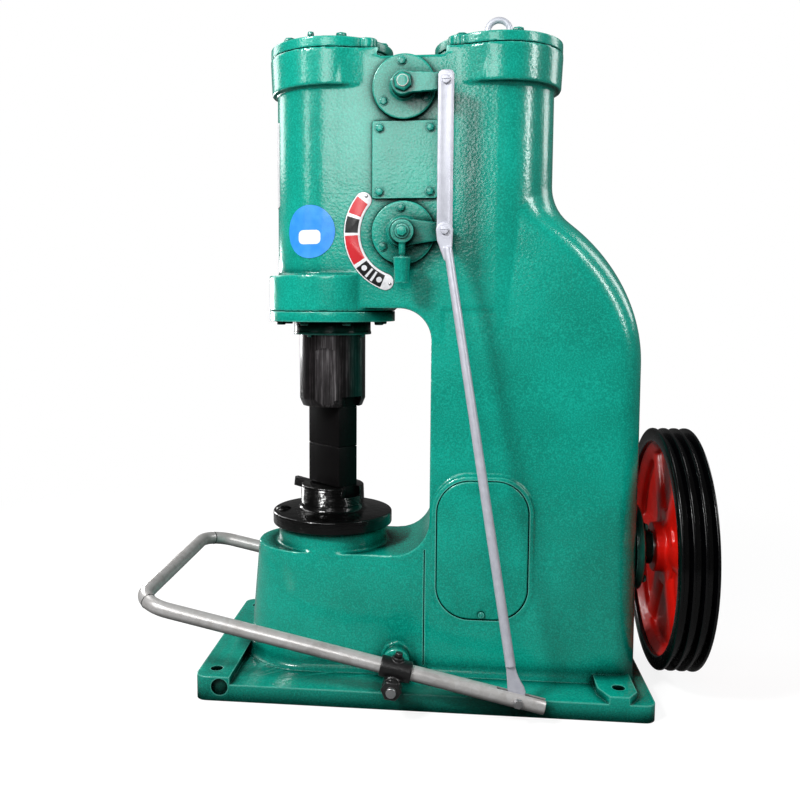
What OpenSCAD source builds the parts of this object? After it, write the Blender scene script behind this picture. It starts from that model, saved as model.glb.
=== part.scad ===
/* [Base] */
// Length of the base plate along X
base_l = 832; // [800:1:860]
// Width of the base plate along Y
base_w = 426; // [420:1:430]
// Thickness of the base plate's side ledges
base_t = 32; // [28:1:34]
// Height of the raised front end and of the two rear pads
pad_t = 46; // [42:1:50]
// X of the two foundation holes at the front end
hole_front = -384; // [-388:1:-378]
// X of the two foundation holes in the rear pads
hole_rear = 356; // [350:1:360]
// Half spacing of the foundation holes along Y
hole_dy = 174; // [168:1:180]
// Radius of the foundation holes
hole_r = 11; // [9:0.5:12]

/* [Body] */
// X of the working (front) cylinder axis
front_x = -187; // [-190:1:-184]
// X of the compressor (rear) cylinder axis
rear_x = 131; // [128:1:134]
// Half width of the body across Y, at its shoulder and above
half_w = 106; // [104:1:108]
// Half width of the body across Y where it meets the base
foot_w = 122; // [116:1:124]
// X of the rear face of the column
back_x = 400; // [398:1:402]
// X of the front face of the column in the throat
throat_x = 12; // [10:1:16]
// Height of the pedestal
ped_z = 256; // [250:1:260]
// Height of the throat's ceiling
throat_top = 724; // [720:1:728]
// Height of the body between the two flanges
body_top = 1180; // [1175:1:1185]
// Height of the flanges that carry the lids
flange_top = 1195; // [1190:1:1200]
// Thickness of the lids
lid_t = 20; // [16:1:24]
// Bore radius of the working cylinder
front_bore = 72; // [70:0.5:74]
// Bore radius of the compressor cylinder
rear_bore = 75; // [72:0.5:78]

/* [Ram and dies] */
// Radius of the ram below its head
ram_r = 65.5; // [64:0.5:67]
// Height of the faces of the closed dies
die_z = 451; // [446:1:456]
// Height of each die block
die_h = 80; // [76:1:84]
// Length of the die faces
die_l = 100; // [90:1:104]
// Width of the die faces
die_w = 46; // [42:1:50]
// Turn of the dies from the X axis
die_turn = 135; // [130:1:140]

/* [Drive] */
// Height of the crankshaft axis
crank_z = 260; // [256:1:264]
// Throw of the crank
throw = 50; // [40:1:52]
// Length of the connecting rod between its eyes
rod_l = 460; // [456:1:470]
// Outer radius of the belt pulley
pulley_r = 232; // [228:1:240]
// Width of the pulley's rim
pulley_w = 66; // [62:1:70]
// Number of belt grooves
grooves = 3; // [2:1:3]
// Number of pulley arms
arms = 6; // [5:1:6]

/* [Controls] */
// X of both valve axes
valve_x = -41; // [-44:1:-38]
// Height of the upper valve axis
valve_hi = 1122; // [1120:1:1124]
// Height of the lower valve axis
valve_lo = 862; // [860:1:864]
// Length of the valve arms
arm_l = 76; // [74:1:78]
// Outer radius of the treadle pipe
pipe_r = 14; // [13:0.05:15]
// Distance of each treadle arm from the middle plane
treadle_y = 237; // [235:1:242]
// Downward slope of the treadle's arms to the rear
slope = 12.1; // [12:0.01:13]

/* [Hidden] */
$fn = 64;

// Heights and levels worked out from the driving dimensions
lid_z = flange_top + lid_t;
flange_h = 66;
front_flange_r = 119;
rear_flange_r = 121;
front_barrel_r = half_w;
rear_barrel_r = 104;
collar_r = 124;
collar_lo = 718;
collar_hi = 786;
guide_lo = 698;
gland_lo = 672;
gland_r = 77;
gland_pcr = 71.7;
ram_bottom = die_z + die_h;
ram_top = 1000;
head_h = 70;
fit = 0.06;
holder_top = die_z - die_h;
nose_x = -228;
disc_top = 318;
disc_bottom = 292;
disc_r = 120;
spigot_r = 60;
spigot_bottom = 232;
tenon_h = 20;
die_gap = 0.15;
shoulder_r = 295;
shoulder_z = 640;
edge_r = 48;
cover_t = 12;
cover_y = -half_w - cover_t;
arm_t = 12;
bar_t = 8;
head_t = 6;
arm_y = -150;
link_y = arm_y - bar_t - 0.4;
rod_y = link_y - head_t - 0.4;
link_x = valve_x + arm_l;
valve_r = 28;
valve_back = 80;
window_x = 111;
window_z = 273;
land_y = -120;
shaft_x = -47;
shaft_z = 62;
shaft_r = 9;
treadle_x = -516;
treadle_z = 190.2;
pivot_along = (shaft_x - treadle_x) * cos(slope) + (treadle_z - shaft_z) * sin(slope);
pivot_drop = (treadle_z - shaft_z) * cos(slope) - (shaft_x - treadle_x) * sin(slope);
pin_along = 703.63;
pin_x = treadle_x + pin_along * cos(slope);
pin_z = treadle_z - pin_along * sin(slope);
foot_y = -treadle_y - head_t / 2;
slot_from = 664;
eye_r = 9.6;
bearing_r = 55;
journal_r = 30;
stub_r = 25;
front_bearing_x = 212;
rear_bearing_x = 366;
bearing_w = 27;
web_x0 = 158;
web_x1 = 186;
pulley_x = 443;
cap_x = 424;
neck_x = 441;
pin_gap = 1;
piston_h = 428;
piston_low = crank_z - throw + rod_l - 48;
piston_high = piston_low + piston_h;
port_x = valve_x + 2;
port_z = 993;
ped_w = 114;
scale_r = 95;
scale_a0 = 141;
scale_a1 = 250;
lid_bolt_pcr = 102;
lid_angles = [for (i = [0:5]) 47 + 60 * i];

green = [0.06, 0.5, 0.4];
black = [0.06, 0.06, 0.07];
steel = [0.62, 0.63, 0.65];
grey = [0.72, 0.73, 0.76];
red = [0.72, 0.08, 0.09];

// Round bar along X from x0 to x1
module bar_x(x0, x1, y, z, r) {
    translate([x0, y, z]) rotate([0, 90, 0]) cylinder(h = x1 - x0, r = r);
}

// Round bar along Y from y0 to y1
module bar_y(x, z, y0, y1, r) {
    translate([x, y0, z]) rotate([-90, 0, 0]) cylinder(h = y1 - y0, r = r);
}

// Box from its two corners
module block(lo, hi) {
    translate(lo) cube(hi - lo);
}

// Rectangle with round corners, in its own plane
module round_rect(w, h, r) {
    square([w, h - 2 * r], center = true);
    square([w - 2 * r, h], center = true);
    for (sx = [-1, 1], sy = [-1, 1])
        translate([sx * (w / 2 - r), sy * (h / 2 - r)]) circle(r);
}

// A plate in the XZ plane, drawn in X and Z, from y0 towards +Y
module side_plate(x, z, y0, t) {
    translate([x, y0 + t, z]) rotate([90, 0, 0]) linear_extrude(t) children();
}

// Hexagon bolt whose head stands on z = 0 and whose shank goes down
module hex_bolt(r, head_h, shank) {
    cylinder(h = head_h, r = 1.85 * r, $fn = 6);
    translate([0, 0, -shank]) cylinder(h = shank + 0.5, r = r - 0.1);
}

// Children repeated on a circle of radius r at the given angles
module around(r, angles) {
    for (a = angles) rotate([0, 0, a]) translate([r, 0, 0]) children();
}

// Places children with +Z pointing to -Y at a point of the near side
module facing_out(x, y, z) {
    translate([x, y, z]) rotate([90, 0, 0]) children();
}

// Round stock of radius r along the treadle's bent centre line, in its own plane
module treadle_line(r, extra) {
    bend = 62;
    near = 751 + extra;
    far = 567 + extra;
    side = treadle_y - bend;
    bar_x(bend, near, -treadle_y, 0, r);
    bar_x(bend, far, treadle_y, 0, r);
    bar_y(0, 0, -side, side, r);
    for (s = [-1, 1])
        translate([bend, s * side, 0])
            rotate([0, 0, s > 0 ? 90 : 180])
                rotate_extrude(angle = 90) translate([bend, 0]) circle(r);
}

// Puts children drawn in the treadle's own plane at their place
module on_treadle() {
    translate([treadle_x, 0, treadle_z]) rotate([0, slope, 0]) children();
}

// Profile of a dovetail: across (x) and height (y), each side with its own lean
module dovetail(x0, x1, h, lean_left, lean_right) {
    polygon([[x0, 0], [x1, 0], [x1 + lean_right, h], [x0 - lean_left, h]]);
}

// Die seat prisms along the die's length; up is 1 for the ram and -1 for the holder
module die_prism(length, x0, x1, lean_left, lean_right) {
    rotate([0, 0, die_turn]) translate([length / 2, 0, 0]) rotate([90, 0, -90])
        linear_extrude(length) dovetail(x0, x1, tenon_h, lean_left, lean_right);
}

module upper_seat() {
    translate([front_x, 0, ram_bottom]) children();
}

module lower_seat() {
    translate([front_x, 0, holder_top]) mirror([0, 0, 1]) children();
}

// ---- frame ----

// Thin level slice of the column, w wide to each side
module column_slice(z, w) {
    translate([(throat_x + back_x) / 2, 0, z]) linear_extrude(1) union() {
        round_rect(back_x - throat_x, 2 * w, edge_r);
        translate([-(back_x - throat_x) / 2, -w]) square([100, 2 * w]);
    }
}

module column_solid() {
    hull() {
        column_slice(base_t - 2, foot_w);
        column_slice(shoulder_z - 1, half_w);
    }
    translate([back_x - shoulder_r, 0, shoulder_z]) rotate([90, 0, 0])
        rotate_extrude(angle = 90, $fn = 96) intersection() {
            round_rect(2 * shoulder_r, 2 * half_w, edge_r);
            translate([0, -half_w]) square([shoulder_r, 2 * half_w]);
        }
    block([throat_x, -half_w, shoulder_z - 1], [back_x - shoulder_r + 1, half_w, throat_top + 2]);
}

module upper_solid() {
    h = body_top - throat_top;
    translate([0, 0, throat_top]) {
        translate([front_x, 0, 0]) cylinder(h = h, r = front_barrel_r);
        translate([rear_x, 0, 0]) cylinder(h = h, r = rear_barrel_r);
        translate([front_x, -half_w, 0]) cube([rear_x - front_x, 2 * half_w, h]);
    }
    for (c = [[front_x, front_flange_r], [rear_x, rear_flange_r]])
        translate([c[0], 0, flange_top - flange_h]) cylinder(h = flange_h, r = c[1]);
    translate([front_x, 0, collar_lo]) cylinder(h = collar_hi - collar_lo, r = collar_r);
}

module throat_fillets() {
    top_r = 60;
    low_r = 70;
    difference() {
        block([throat_x - top_r, -half_w, throat_top - top_r], [throat_x + 20, half_w, throat_top + 5]);
        bar_y(throat_x - top_r, throat_top - top_r, -half_w - 1, half_w + 1, top_r);
    }
    difference() {
        block([throat_x - low_r, -ped_w, ped_z - 5], [throat_x + 20, ped_w, ped_z + low_r]);
        bar_y(throat_x - low_r, ped_z + low_r, -ped_w - 1, ped_w + 1, low_r);
    }
}

module pedestal_solid() {
    hull() {
        translate([nose_x, 0, base_t - 2]) cylinder(h = ped_z - base_t + 2, r1 = 127, r2 = 108, $fn = 96);
        block([4, -foot_w + 2, base_t - 2], [throat_x - 4, foot_w - 2, base_t]);
        block([4, -ped_w, ped_z - 2], [throat_x - 4, ped_w, ped_z]);
    }
    block([0, -ped_w, base_t - 2], [throat_x + 20, ped_w, ped_z]);
    translate([front_x, 0, ped_z - 6]) cylinder(h = disc_bottom - ped_z + 6, r1 = 122, r2 = 110);
}

// Plan of one raised rear pad on the near side
module rear_pad() {
    edge = -base_w / 2;
    polygon([[318, -100], [386, -100], [386, edge + 24], [369, edge], [334, edge], [318, edge + 34]]);
}

module base_solid() {
    linear_extrude(base_t) round_rect(base_l, base_w, 20);
    linear_extrude(pad_t) intersection() {
        round_rect(base_l, base_w, 20);
        translate([-base_l / 2, -base_w / 2]) square([base_l / 2 - 350, base_w]);
    }
    linear_extrude(pad_t) {
        rear_pad();
        mirror([0, 1]) rear_pad();
    }
    bar_y(shaft_x, shaft_z, -150, 150, 26);
    bar_x(350, back_x, 0, crank_z, 80);
}

module lid_holes(x) {
    translate([x, 0, flange_top - 30]) around(lid_bolt_pcr, lid_angles) cylinder(h = 60, r = 6);
}

module valve_cover_holes(z) {
    facing_out(valve_x, -half_w + 14, z) around(45, [95, 215, 335]) cylinder(h = 40, r = 4);
}

module frame_casting() {
    color(green) difference() {
        union() {
            base_solid();
            pedestal_solid();
            column_solid();
            upper_solid();
            throat_fillets();
            side_plate(window_x, window_z, land_y, 20) round_rect(188, 282, 70);
        }
        // cylinders
        translate([front_x, 0, collar_lo - 1]) cylinder(h = flange_top - collar_lo + 2, r = front_bore);
        translate([rear_x, 0, 590]) cylinder(h = flange_top - 589, r = rear_bore);
        // crank chamber, gear side chamber and hollow pedestal
        block([40, -90, 60], [205, 90, 592]);
        block([248, -88, 60], [349, 88, 345]);
        block([248, -88, 344], [378, 88, 690]);
        translate([nose_x, 0, -1]) cylinder(h = 201, r = 86);
        block([nose_x, -80, -1], [-90, 80, 200]);
        translate([front_x, 0, spigot_bottom]) cylinder(h = 100, r = spigot_r);
        // shafts and bearings
        bar_x(204, 249, 0, crank_z, bearing_r);
        bar_x(349, back_x + 1, 0, crank_z, bearing_r);
        bar_y(shaft_x, shaft_z, -211, 211, shaft_r + fit);
        // window of the crank chamber with its rebate
        side_plate(window_x, window_z, land_y - 1, 36) round_rect(134, 228, 46);
        side_plate(window_x, window_z, land_y - 1, 9) round_rect(172, 266, 63);
        for (s = [-1, 1]) bar_y(window_x, window_z + s * 122, land_y - 1, land_y + 16, 4);
        // valve bores, air ways and the chamber behind the port cover
        for (z = [valve_hi, valve_lo]) {
            bar_y(valve_x, z, -half_w - 1, valve_back, valve_r);
            bar_x(front_x + 60, rear_x - 60, 0, z, 13);
            valve_cover_holes(z);
        }
        block([port_x - 38, -half_w - 1, port_z - 50], [port_x + 38, -60, port_z + 50]);
        for (sx = [-1, 1], sz = [-1, 1])
            bar_y(port_x + sx * 46, port_z + sz * 57, -half_w - 1, -half_w + 16, 4);
        // fixings
        lid_holes(front_x);
        lid_holes(rear_x);
        translate([front_x, 0, collar_lo - 1]) around(104, [for (i = [0:7]) 22.5 + 45 * i]) cylinder(h = 26, r = 5);
        translate([back_x - 21, 0, crank_z]) rotate([0, 90, 0])
            around(70, [for (i = [0:3]) 45 + 90 * i]) cylinder(h = 22, r = 4);
        for (x = [hole_front, hole_rear], sy = [-1, 1])
            translate([x, sy * hole_dy, -1]) cylinder(h = pad_t + 2, r = hole_r);
        bar_y(hole_front + 15, 27, -base_w / 2 - 1, -base_w / 2 + 8, 15.5);
    }
}

// ---- lids and the ram's guide ----

module lid(x, r, lug) {
    translate([x, 0, flange_top]) difference() {
        union() {
            cylinder(h = lid_t, r = r);
            around(110, lug) cylinder(h = lid_t, r = 19);
            translate([0, 0, -14]) cylinder(h = 15, r = min(front_bore, rear_bore) - 1);
        }
        around(lid_bolt_pcr, lid_angles) translate([0, 0, -1]) cylinder(h = lid_t + 2, r = 6);
        if (x == rear_x) translate([0, 0, lid_t - 16]) cylinder(h = 17, r = 6);
    }
}

module front_lid() {
    color(green) lid(front_x, front_flange_r - 1, [-47, 47]);
}

module rear_lid() {
    color(green) lid(rear_x, rear_flange_r - 1, [-133, 133]);
}

module lid_bolts(x) {
    color(green) translate([x, 0, lid_z]) around(lid_bolt_pcr, lid_angles) hex_bolt(6, 8, 42);
}

module front_lid_bolts() {
    lid_bolts(front_x);
}

module rear_lid_bolts() {
    lid_bolts(rear_x);
}

module lifting_eye() {
    color(grey) translate([rear_x, 0, lid_z]) {
        cylinder(h = 7, r = 15);
        translate([0, 0, -15]) cylinder(h = 15.5, r = 5.9);
        translate([0, 0, 5]) cylinder(h = 7, r1 = 12, r2 = 7);
        translate([0, 0, 31]) rotate([90, 0, 0]) rotate_extrude() translate([21, 0]) circle(6);
    }
}

module guide_flange() {
    color(green) translate([front_x, 0, guide_lo]) difference() {
        union() {
            cylinder(h = collar_lo - guide_lo, r = collar_r);
            cylinder(h = 100, r = front_bore - 0.1);
        }
        translate([0, 0, -1]) cylinder(h = 102, r = ram_r + fit);
        around(104, [for (i = [0:7]) 22.5 + 45 * i]) translate([0, 0, -1]) cylinder(h = 22, r = 5);
        around(gland_pcr, [for (i = [0:3]) 30 + 90 * i]) translate([0, 0, -1]) cylinder(h = 12, r = 3);
    }
}

module gland_ring() {
    color(green) translate([front_x, 0, gland_lo]) difference() {
        union() {
            cylinder(h = guide_lo - gland_lo, r = gland_r);
            cylinder(h = 5, r = gland_r + 3);
        }
        translate([0, 0, -1]) cylinder(h = 40, r = ram_r + 0.5);
        around(gland_pcr, [for (i = [0:3]) 30 + 90 * i]) translate([0, 0, -1]) cylinder(h = 40, r = 3);
    }
}

module guide_bolts() {
    color(black) translate([front_x, 0, guide_lo]) mirror([0, 0, 1])
        around(104, [for (i = [0:7]) 22.5 + 45 * i]) hex_bolt(5, 7, 42);
    color(black) translate([front_x, 0, gland_lo]) mirror([0, 0, 1])
        around(gland_pcr, [for (i = [0:3]) 30 + 90 * i]) hex_bolt(3, 4, 34);
}

// ---- ram and dies ----

module ram() {
    chamfer = 13;
    flat = ram_r - 3.2;
    color(black) difference() {
        union() {
            translate([front_x, 0, ram_bottom]) cylinder(h = chamfer, r1 = ram_r - 6, r2 = ram_r);
            translate([front_x, 0, ram_bottom + chamfer]) cylinder(h = ram_top - ram_bottom - chamfer, r = ram_r);
            translate([front_x, 0, ram_top - head_h]) cylinder(h = head_h, r = front_bore - fit);
        }
        translate([front_x, 0, 660]) cylinder(h = 400, r = 47);
        // two milled flats with a round run-out
        for (s = [0, 180]) translate([front_x, 0, 0]) rotate([0, 0, s - 5]) {
            block([-30, -ram_r - 10, ram_bottom - 1], [30, -flat, 625]);
            bar_y(0, 625, -ram_r - 10, -flat, 20);
        }
        for (i = [0:2]) translate([front_x, 0, ram_top - 20 - 18 * i]) difference() {
            cylinder(h = 6, r = front_bore + 1);
            translate([0, 0, -1]) cylinder(h = 8, r = front_bore - 6);
        }
        upper_seat() die_prism(160, -21, 22, 3, 3);
    }
}

module ram_rings() {
    color(steel) for (i = [0:2]) translate([front_x, 0, ram_top - 19.9 - 18 * i]) difference() {
        cylinder(h = 5.8, r = front_bore - 0.03);
        translate([0, 0, -1]) cylinder(h = 8, r = front_bore - 5.8);
        translate([40, -0.8, -1]) cube([40, 1.6, 8]);
    }
}

module die_block() {
    rotate([0, 0, die_turn]) translate([-die_l / 2, -die_w / 2, -die_h + die_gap])
        cube([die_l, die_w, die_h - die_gap]);
    die_prism(die_l, -12, 22, 3, 3);
}

module die_key() {
    rotate([0, 0, die_turn]) translate([95, 0, 0]) rotate([90, 0, -90])
        linear_extrude(190) polygon([[-12.05, 0], [-21, 0], [-23.9, tenon_h - 0.5], [-14.95, tenon_h - 0.5]]);
}

module upper_die() {
    color(black) upper_seat() die_block();
}

module upper_die_key() {
    color(black) upper_seat() die_key();
}

module lower_die() {
    color(black) lower_seat() die_block();
}

module lower_die_key() {
    color(black) lower_seat() die_key();
}

module die_holder() {
    color(black) difference() {
        translate([front_x, 0, 0]) rotate_extrude() polygon([
            [0, spigot_bottom + 1], [spigot_r - 0.1, spigot_bottom + 1], [spigot_r - 0.1, disc_bottom],
            [disc_r - 2, disc_bottom], [disc_r, disc_bottom + 2], [disc_r, disc_top - 3],
            [disc_r - 3, disc_top], [84, disc_top + 6], [79, disc_top + 9],
            [75, disc_top + 32], [73, holder_top - 4], [70, holder_top], [0, holder_top]
        ]);
        lower_seat() die_prism(170, -21, 22, 3, 3);
    }
}

// ---- valves and their covers ----

module valve_plug(z, spindle_r, spindle_end, hole_r) {
    difference() {
        union() {
            bar_y(valve_x, z, -half_w + 0.5, valve_back - 1, valve_r - fit);
            bar_y(valve_x, z, spindle_end, -half_w + 1, spindle_r);
        }
        translate([valve_x - 40, -16, z + 8]) cube([80, 32, 30]);
        if (hole_r > 0) bar_y(valve_x, z, spindle_end - 1, -30, hole_r);
    }
}

module upper_valve() {
    color(steel) valve_plug(valve_hi, 10, arm_y - 12, 0);
}

module lower_valve() {
    color(steel) valve_plug(valve_lo, 15, -134, 9.06);
}

module valve_cover(z, bore, cut) {
    difference() {
        union() {
            bar_y(valve_x, z, cover_y, -half_w, 57.5);
            bar_y(valve_x, z, cover_y - 4, cover_y + 1, bore + 14);
        }
        bar_y(valve_x, z, cover_y - 5, -half_w + 1, bore);
        translate([valve_x - 70, cover_y - 6, z + cut]) cube([140, 30, 40]);
        facing_out(valve_x, -half_w + 1, z) around(45, [95, 215, 335]) cylinder(h = 20, r = 4);
    }
}

module upper_valve_cover() {
    color(green) valve_cover(valve_hi, 10 + fit, -98);
}

module lower_valve_cover() {
    color(green) valve_cover(valve_lo, 15 + fit, 57);
}

module cover_bolts(z) {
    color(green) facing_out(valve_x, cover_y, z) around(45, [95, 215, 335]) hex_bolt(4, 3.6, 24);
}

module upper_cover_bolts() {
    cover_bolts(valve_hi);
}

module lower_cover_bolts() {
    cover_bolts(valve_lo);
}

// Arm from a valve's hub to the link, in the XZ plane
module valve_arm(z, hub_r, hub_y, bore, plate_y, end_r) {
    difference() {
        union() {
            bar_y(valve_x, z, hub_y, cover_y - 4.3, hub_r);
            hull() {
                bar_y(valve_x, z, plate_y, plate_y + arm_t, hub_r - 2, $fn = 48);
                bar_y(link_x, z, plate_y, plate_y + arm_t, end_r, $fn = 48);
            }
            bar_y(link_x, z, arm_y, plate_y + arm_t, end_r - 1);
        }
        bar_y(valve_x, z, hub_y - 1, -half_w, bore);
        bar_y(link_x, z, arm_y - 1, -half_w, 5.02);
    }
}

module upper_arm() {
    color(green) valve_arm(valve_hi, 21, arm_y, 10.02, arm_y, 14);
}

module lower_arm() {
    color(green) valve_arm(valve_lo, 27, -134, 15.02, -134, 14);
}

module upper_arm_nut() {
    color(green) difference() {
        translate([valve_x, arm_y - 9, valve_hi]) rotate([-90, 0, 0]) cylinder(h = 9, r = 17, $fn = 6);
        bar_y(valve_x, valve_hi, arm_y - 11, arm_y + 1, 10.02);
    }
}

module link_pin(z, out_y) {
    difference() {
        union() {
            bar_y(link_x, z, out_y, arm_y + 16 - 0.5, 5);
            bar_y(link_x, z, out_y - 4, out_y, 7.5);
        }
        translate([link_x - 9, out_y - 5, z - 0.8]) cube([18, 2.6, 1.6]);
    }
}

module upper_link_pin() {
    color(grey) link_pin(valve_hi, link_y - 0.4);
}

module lower_link_pin() {
    color(grey) link_pin(valve_lo, rod_y - 0.4);
}

module port_cover() {
    color(green) difference() {
        side_plate(port_x, port_z + 0.5, cover_y + 6, 6) round_rect(120, 139, 3);
        for (sx = [-1, 1], sz = [-1, 1])
            bar_y(port_x + sx * 46, port_z + sz * 57, cover_y, -half_w + 1, 4);
        bar_y(valve_x, valve_hi, cover_y, -half_w + 1, 57.8);
        bar_y(valve_x, valve_lo, cover_y, -half_w + 1, 57.8);
    }
}

module port_cover_bolts() {
    color(green) for (sx = [-1, 1], sz = [-1, 1])
        facing_out(port_x + sx * 46, cover_y + 6, port_z + sz * 57) hex_bolt(4, 5, 18);
}

// ---- hand lever and its scale ----

module hand_spindle() {
    color(steel) bar_y(valve_x, valve_lo, -153, -32, 9);
}

module hand_lever() {
    color(green) difference() {
        union() {
            bar_y(valve_x, valve_lo, -152, -135, 21);
            translate([valve_x, -144, valve_lo - 52]) cylinder(h = 40, r = 6);
            translate([valve_x, -146, valve_lo - 98]) hull() {
                cube([22, 20, 2], center = true);
                translate([0, 0, 47]) cube([27, 24, 2], center = true);
            }
        }
        bar_y(valve_x, valve_lo, -153, -134, 9.02);
    }
}

module hand_lever_bolt() {
    color(green) facing_out(valve_x, -153, valve_lo) {
        cylinder(h = 2, r = 13);
        translate([0, 0, 2]) cylinder(h = 6, r = 10, $fn = 6);
    }
}

module arc_band(r0, r1, a0, a1) {
    intersection() {
        difference() {
            circle(r1);
            circle(r0);
        }
        polygon([[0, 0], for (i = [0:6]) let (a = a0 + (a1 - a0) * i / 6) 200 * [cos(a), sin(a)]]);
    }
}

module scale_plate() {
    color("white") difference() {
        side_plate(valve_x, valve_lo, -half_w - 1.2, 1.2) {
            arc_band(scale_r - 15, scale_r + 15, scale_a0, scale_a1);
            for (a = [scale_a0, scale_a1]) rotate(a) translate([scale_r, 0]) circle(15);
        }
        for (a = [scale_a0 - 4, scale_a1 + 4])
            bar_y(valve_x + scale_r * cos(a), valve_lo + scale_r * sin(a), -half_w - 3, -half_w + 1, 2);
    }
}

module scale_plate_rivets() {
    color(steel) for (a = [scale_a0 - 4, scale_a1 + 4])
        facing_out(valve_x + scale_r * cos(a), -half_w, valve_lo + scale_r * sin(a)) {
            cylinder(h = 1.3, r = 1.9);
            translate([0, 0, 1.2]) cylinder(h = 1, r = 3.2);
        }
}

// ---- link and treadle ----

module link_bar() {
    color(grey) difference() {
        side_plate(link_x, (valve_hi + valve_lo) / 2, link_y, bar_t) round_rect(28, valve_hi - valve_lo + 34, 9);
        bar_y(link_x, valve_hi, link_y - 1, link_y + bar_t + 1, 5.4);
        bar_y(link_x, valve_lo, link_y - 1, link_y + bar_t + 1, 5.06);
    }
}

module link_rod() {
    top = [link_x + 6, rod_y + head_t / 2, valve_lo - 30];
    foot = [pin_x - 12.5, foot_y + head_t / 2, pin_z + 60];
    span = foot - top;
    lean = atan2(norm([span[0], span[1]]), -span[2]);
    turn = atan2(span[1], span[0]);
    color(grey) difference() {
        union() {
            side_plate(link_x, valve_lo, rod_y, head_t) {
                circle(15);
                polygon([[-15, 0], [15, 0], [14, -34], [-1, -34]]);
            }
            translate(top) rotate([0, 180 - lean, turn]) cylinder(h = norm(span), r = 6.8);
            side_plate(pin_x, pin_z, foot_y, head_t) {
                circle(eye_r);
                polygon([[-eye_r, 0], [eye_r, 0], [14, 16], [2, 38], [-7, 70], [-21, 70], [-17, 16]]);
            }
        }
        bar_y(link_x, valve_lo, rod_y - 1, rod_y + head_t + 1, 5.06);
        bar_y(pin_x, pin_z, foot_y - 1, foot_y + head_t + 1, 7.5);
    }
}

module treadle_pipe() {
    color(steel) on_treadle() difference() {
        treadle_line(pipe_r, 0);
        treadle_line(pipe_r - 2.8, 1);
        translate([pin_along, -treadle_y, 0]) bar_y(0, 0, -30, 30, 5.1);
        // slot for the link rod's foot, and room for its eye in the bore
        block([slot_from, -treadle_y - 4.5, 0], [760, -treadle_y + 4.5, 20]);
        bar_y(pin_along, 0, -treadle_y - 3.6, -treadle_y + 3.6, eye_r + 2.8);
        for (s = [-1, 1]) translate([pivot_along, s * treadle_y, 5]) cylinder(h = 20, r = 4.5);
    }
}

module treadle_clamps() {
    color(black) on_treadle() for (s = [-1, 1]) translate([pivot_along, s * treadle_y, 0]) difference() {
        union() {
            bar_x(-28, 28, 0, 0, 19);
            bar_y(0, -pivot_drop, -20, 20, 18);
        }
        bar_x(-30, 30, 0, 0, pipe_r + 0.02);
        bar_y(0, -pivot_drop, -30, 30, shaft_r + 0.02);
        cylinder(h = 40, r = 4.5);
    }
}

module clamp_screws() {
    color(black) on_treadle() for (s = [-1, 1]) translate([pivot_along, s * treadle_y, 0]) {
        translate([0, 0, pipe_r - 3]) cylinder(h = 16, r = 4.4);
        translate([0, 0, 24]) cylinder(h = 7, r = 7.5, $fn = 6);
    }
}

module treadle_shaft() {
    color(steel) bar_y(shaft_x, shaft_z, -treadle_y - 44, treadle_y + 44, shaft_r);
}

module shaft_nuts() {
    color(black) for (s = [-1, 1]) {
        a = treadle_y + 20.2;
        translate([shaft_x, s > 0 ? a : -a - 16, shaft_z]) difference() {
            rotate([-90, 0, 0]) cylinder(h = 16, r = 19, $fn = 6);
            rotate([-90, 0, 0]) translate([0, 0, -1]) cylinder(h = 20, r = shaft_r + 0.02);
        }
    }
}

module rod_bolt() {
    color(grey) {
        bar_y(pin_x, pin_z, -treadle_y - pipe_r, pipe_r - treadle_y + 7, 5);
        translate([pin_x, -treadle_y - pipe_r - 6.5, pin_z]) rotate([-90, 0, 0]) cylinder(h = 6.5, r = 9.2, $fn = 6);
        translate([pin_x, pipe_r - treadle_y, pin_z]) rotate([-90, 0, 0]) cylinder(h = 5, r = 9, $fn = 6);
    }
}

// ---- drive ----

module side_cover() {
    color(green) difference() {
        union() {
            side_plate(window_x, window_z, land_y - 1, 9) round_rect(170, 264, 62);
            side_plate(window_x, window_z, land_y + 7, 8) round_rect(133, 227, 45.5);
        }
        for (s = [-1, 1]) bar_y(window_x, window_z + s * 122, land_y - 2, land_y + 9, 4);
    }
}

module side_cover_screws() {
    color(steel) for (s = [-1, 1]) facing_out(window_x, land_y - 1, window_z + s * 122) {
        cylinder(h = 4, r = 6.5);
        translate([0, 0, -15]) cylinder(h = 16, r = 3.9);
    }
}

module crankshaft() {
    color(steel) {
        bar_x(web_x0, web_x1, 0, crank_z, 80);
        bar_x(web_x1, 396, 0, crank_z, journal_r);
        difference() {
            bar_x(395, pulley_x + 78, 0, crank_z, stub_r);
            block([pulley_x + 4, -7, crank_z + 19], [pulley_x + 72, 7, crank_z + 30]);
        }
    }
}

module roller_bearing(x) {
    race = 6;
    translate([x, 0, crank_z]) rotate([0, 90, 0]) {
        difference() {
            cylinder(h = bearing_w, r = bearing_r - 0.02);
            translate([0, 0, -1]) cylinder(h = bearing_w + 2, r = bearing_r - race);
        }
        difference() {
            cylinder(h = bearing_w, r = journal_r + fit + race);
            translate([0, 0, -1]) cylinder(h = bearing_w + 2, r = journal_r + fit);
        }
        around((bearing_r + journal_r + fit) / 2, [for (i = [0:11]) 30 * i])
            translate([0, 0, 4]) cylinder(h = bearing_w - 8, r = 6.3);
    }
}

module front_bearing() {
    color(steel) roller_bearing(front_bearing_x);
}

module rear_bearing() {
    color(steel) roller_bearing(rear_bearing_x);
}

module bearing_cover() {
    color(green) difference() {
        union() {
            bar_x(back_x, cap_x, 0, crank_z, 84);
            bar_x(cap_x, neck_x, 0, crank_z, 34);
            bar_x(back_x - 6, back_x, 0, crank_z, bearing_r - 0.1);
        }
        bar_x(back_x - 7, neck_x + 1, 0, crank_z, stub_r + 7);
        translate([back_x - 1, 0, crank_z]) rotate([0, 90, 0])
            around(70, [for (i = [0:3]) 45 + 90 * i]) cylinder(h = 40, r = 4);
    }
}

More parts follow.
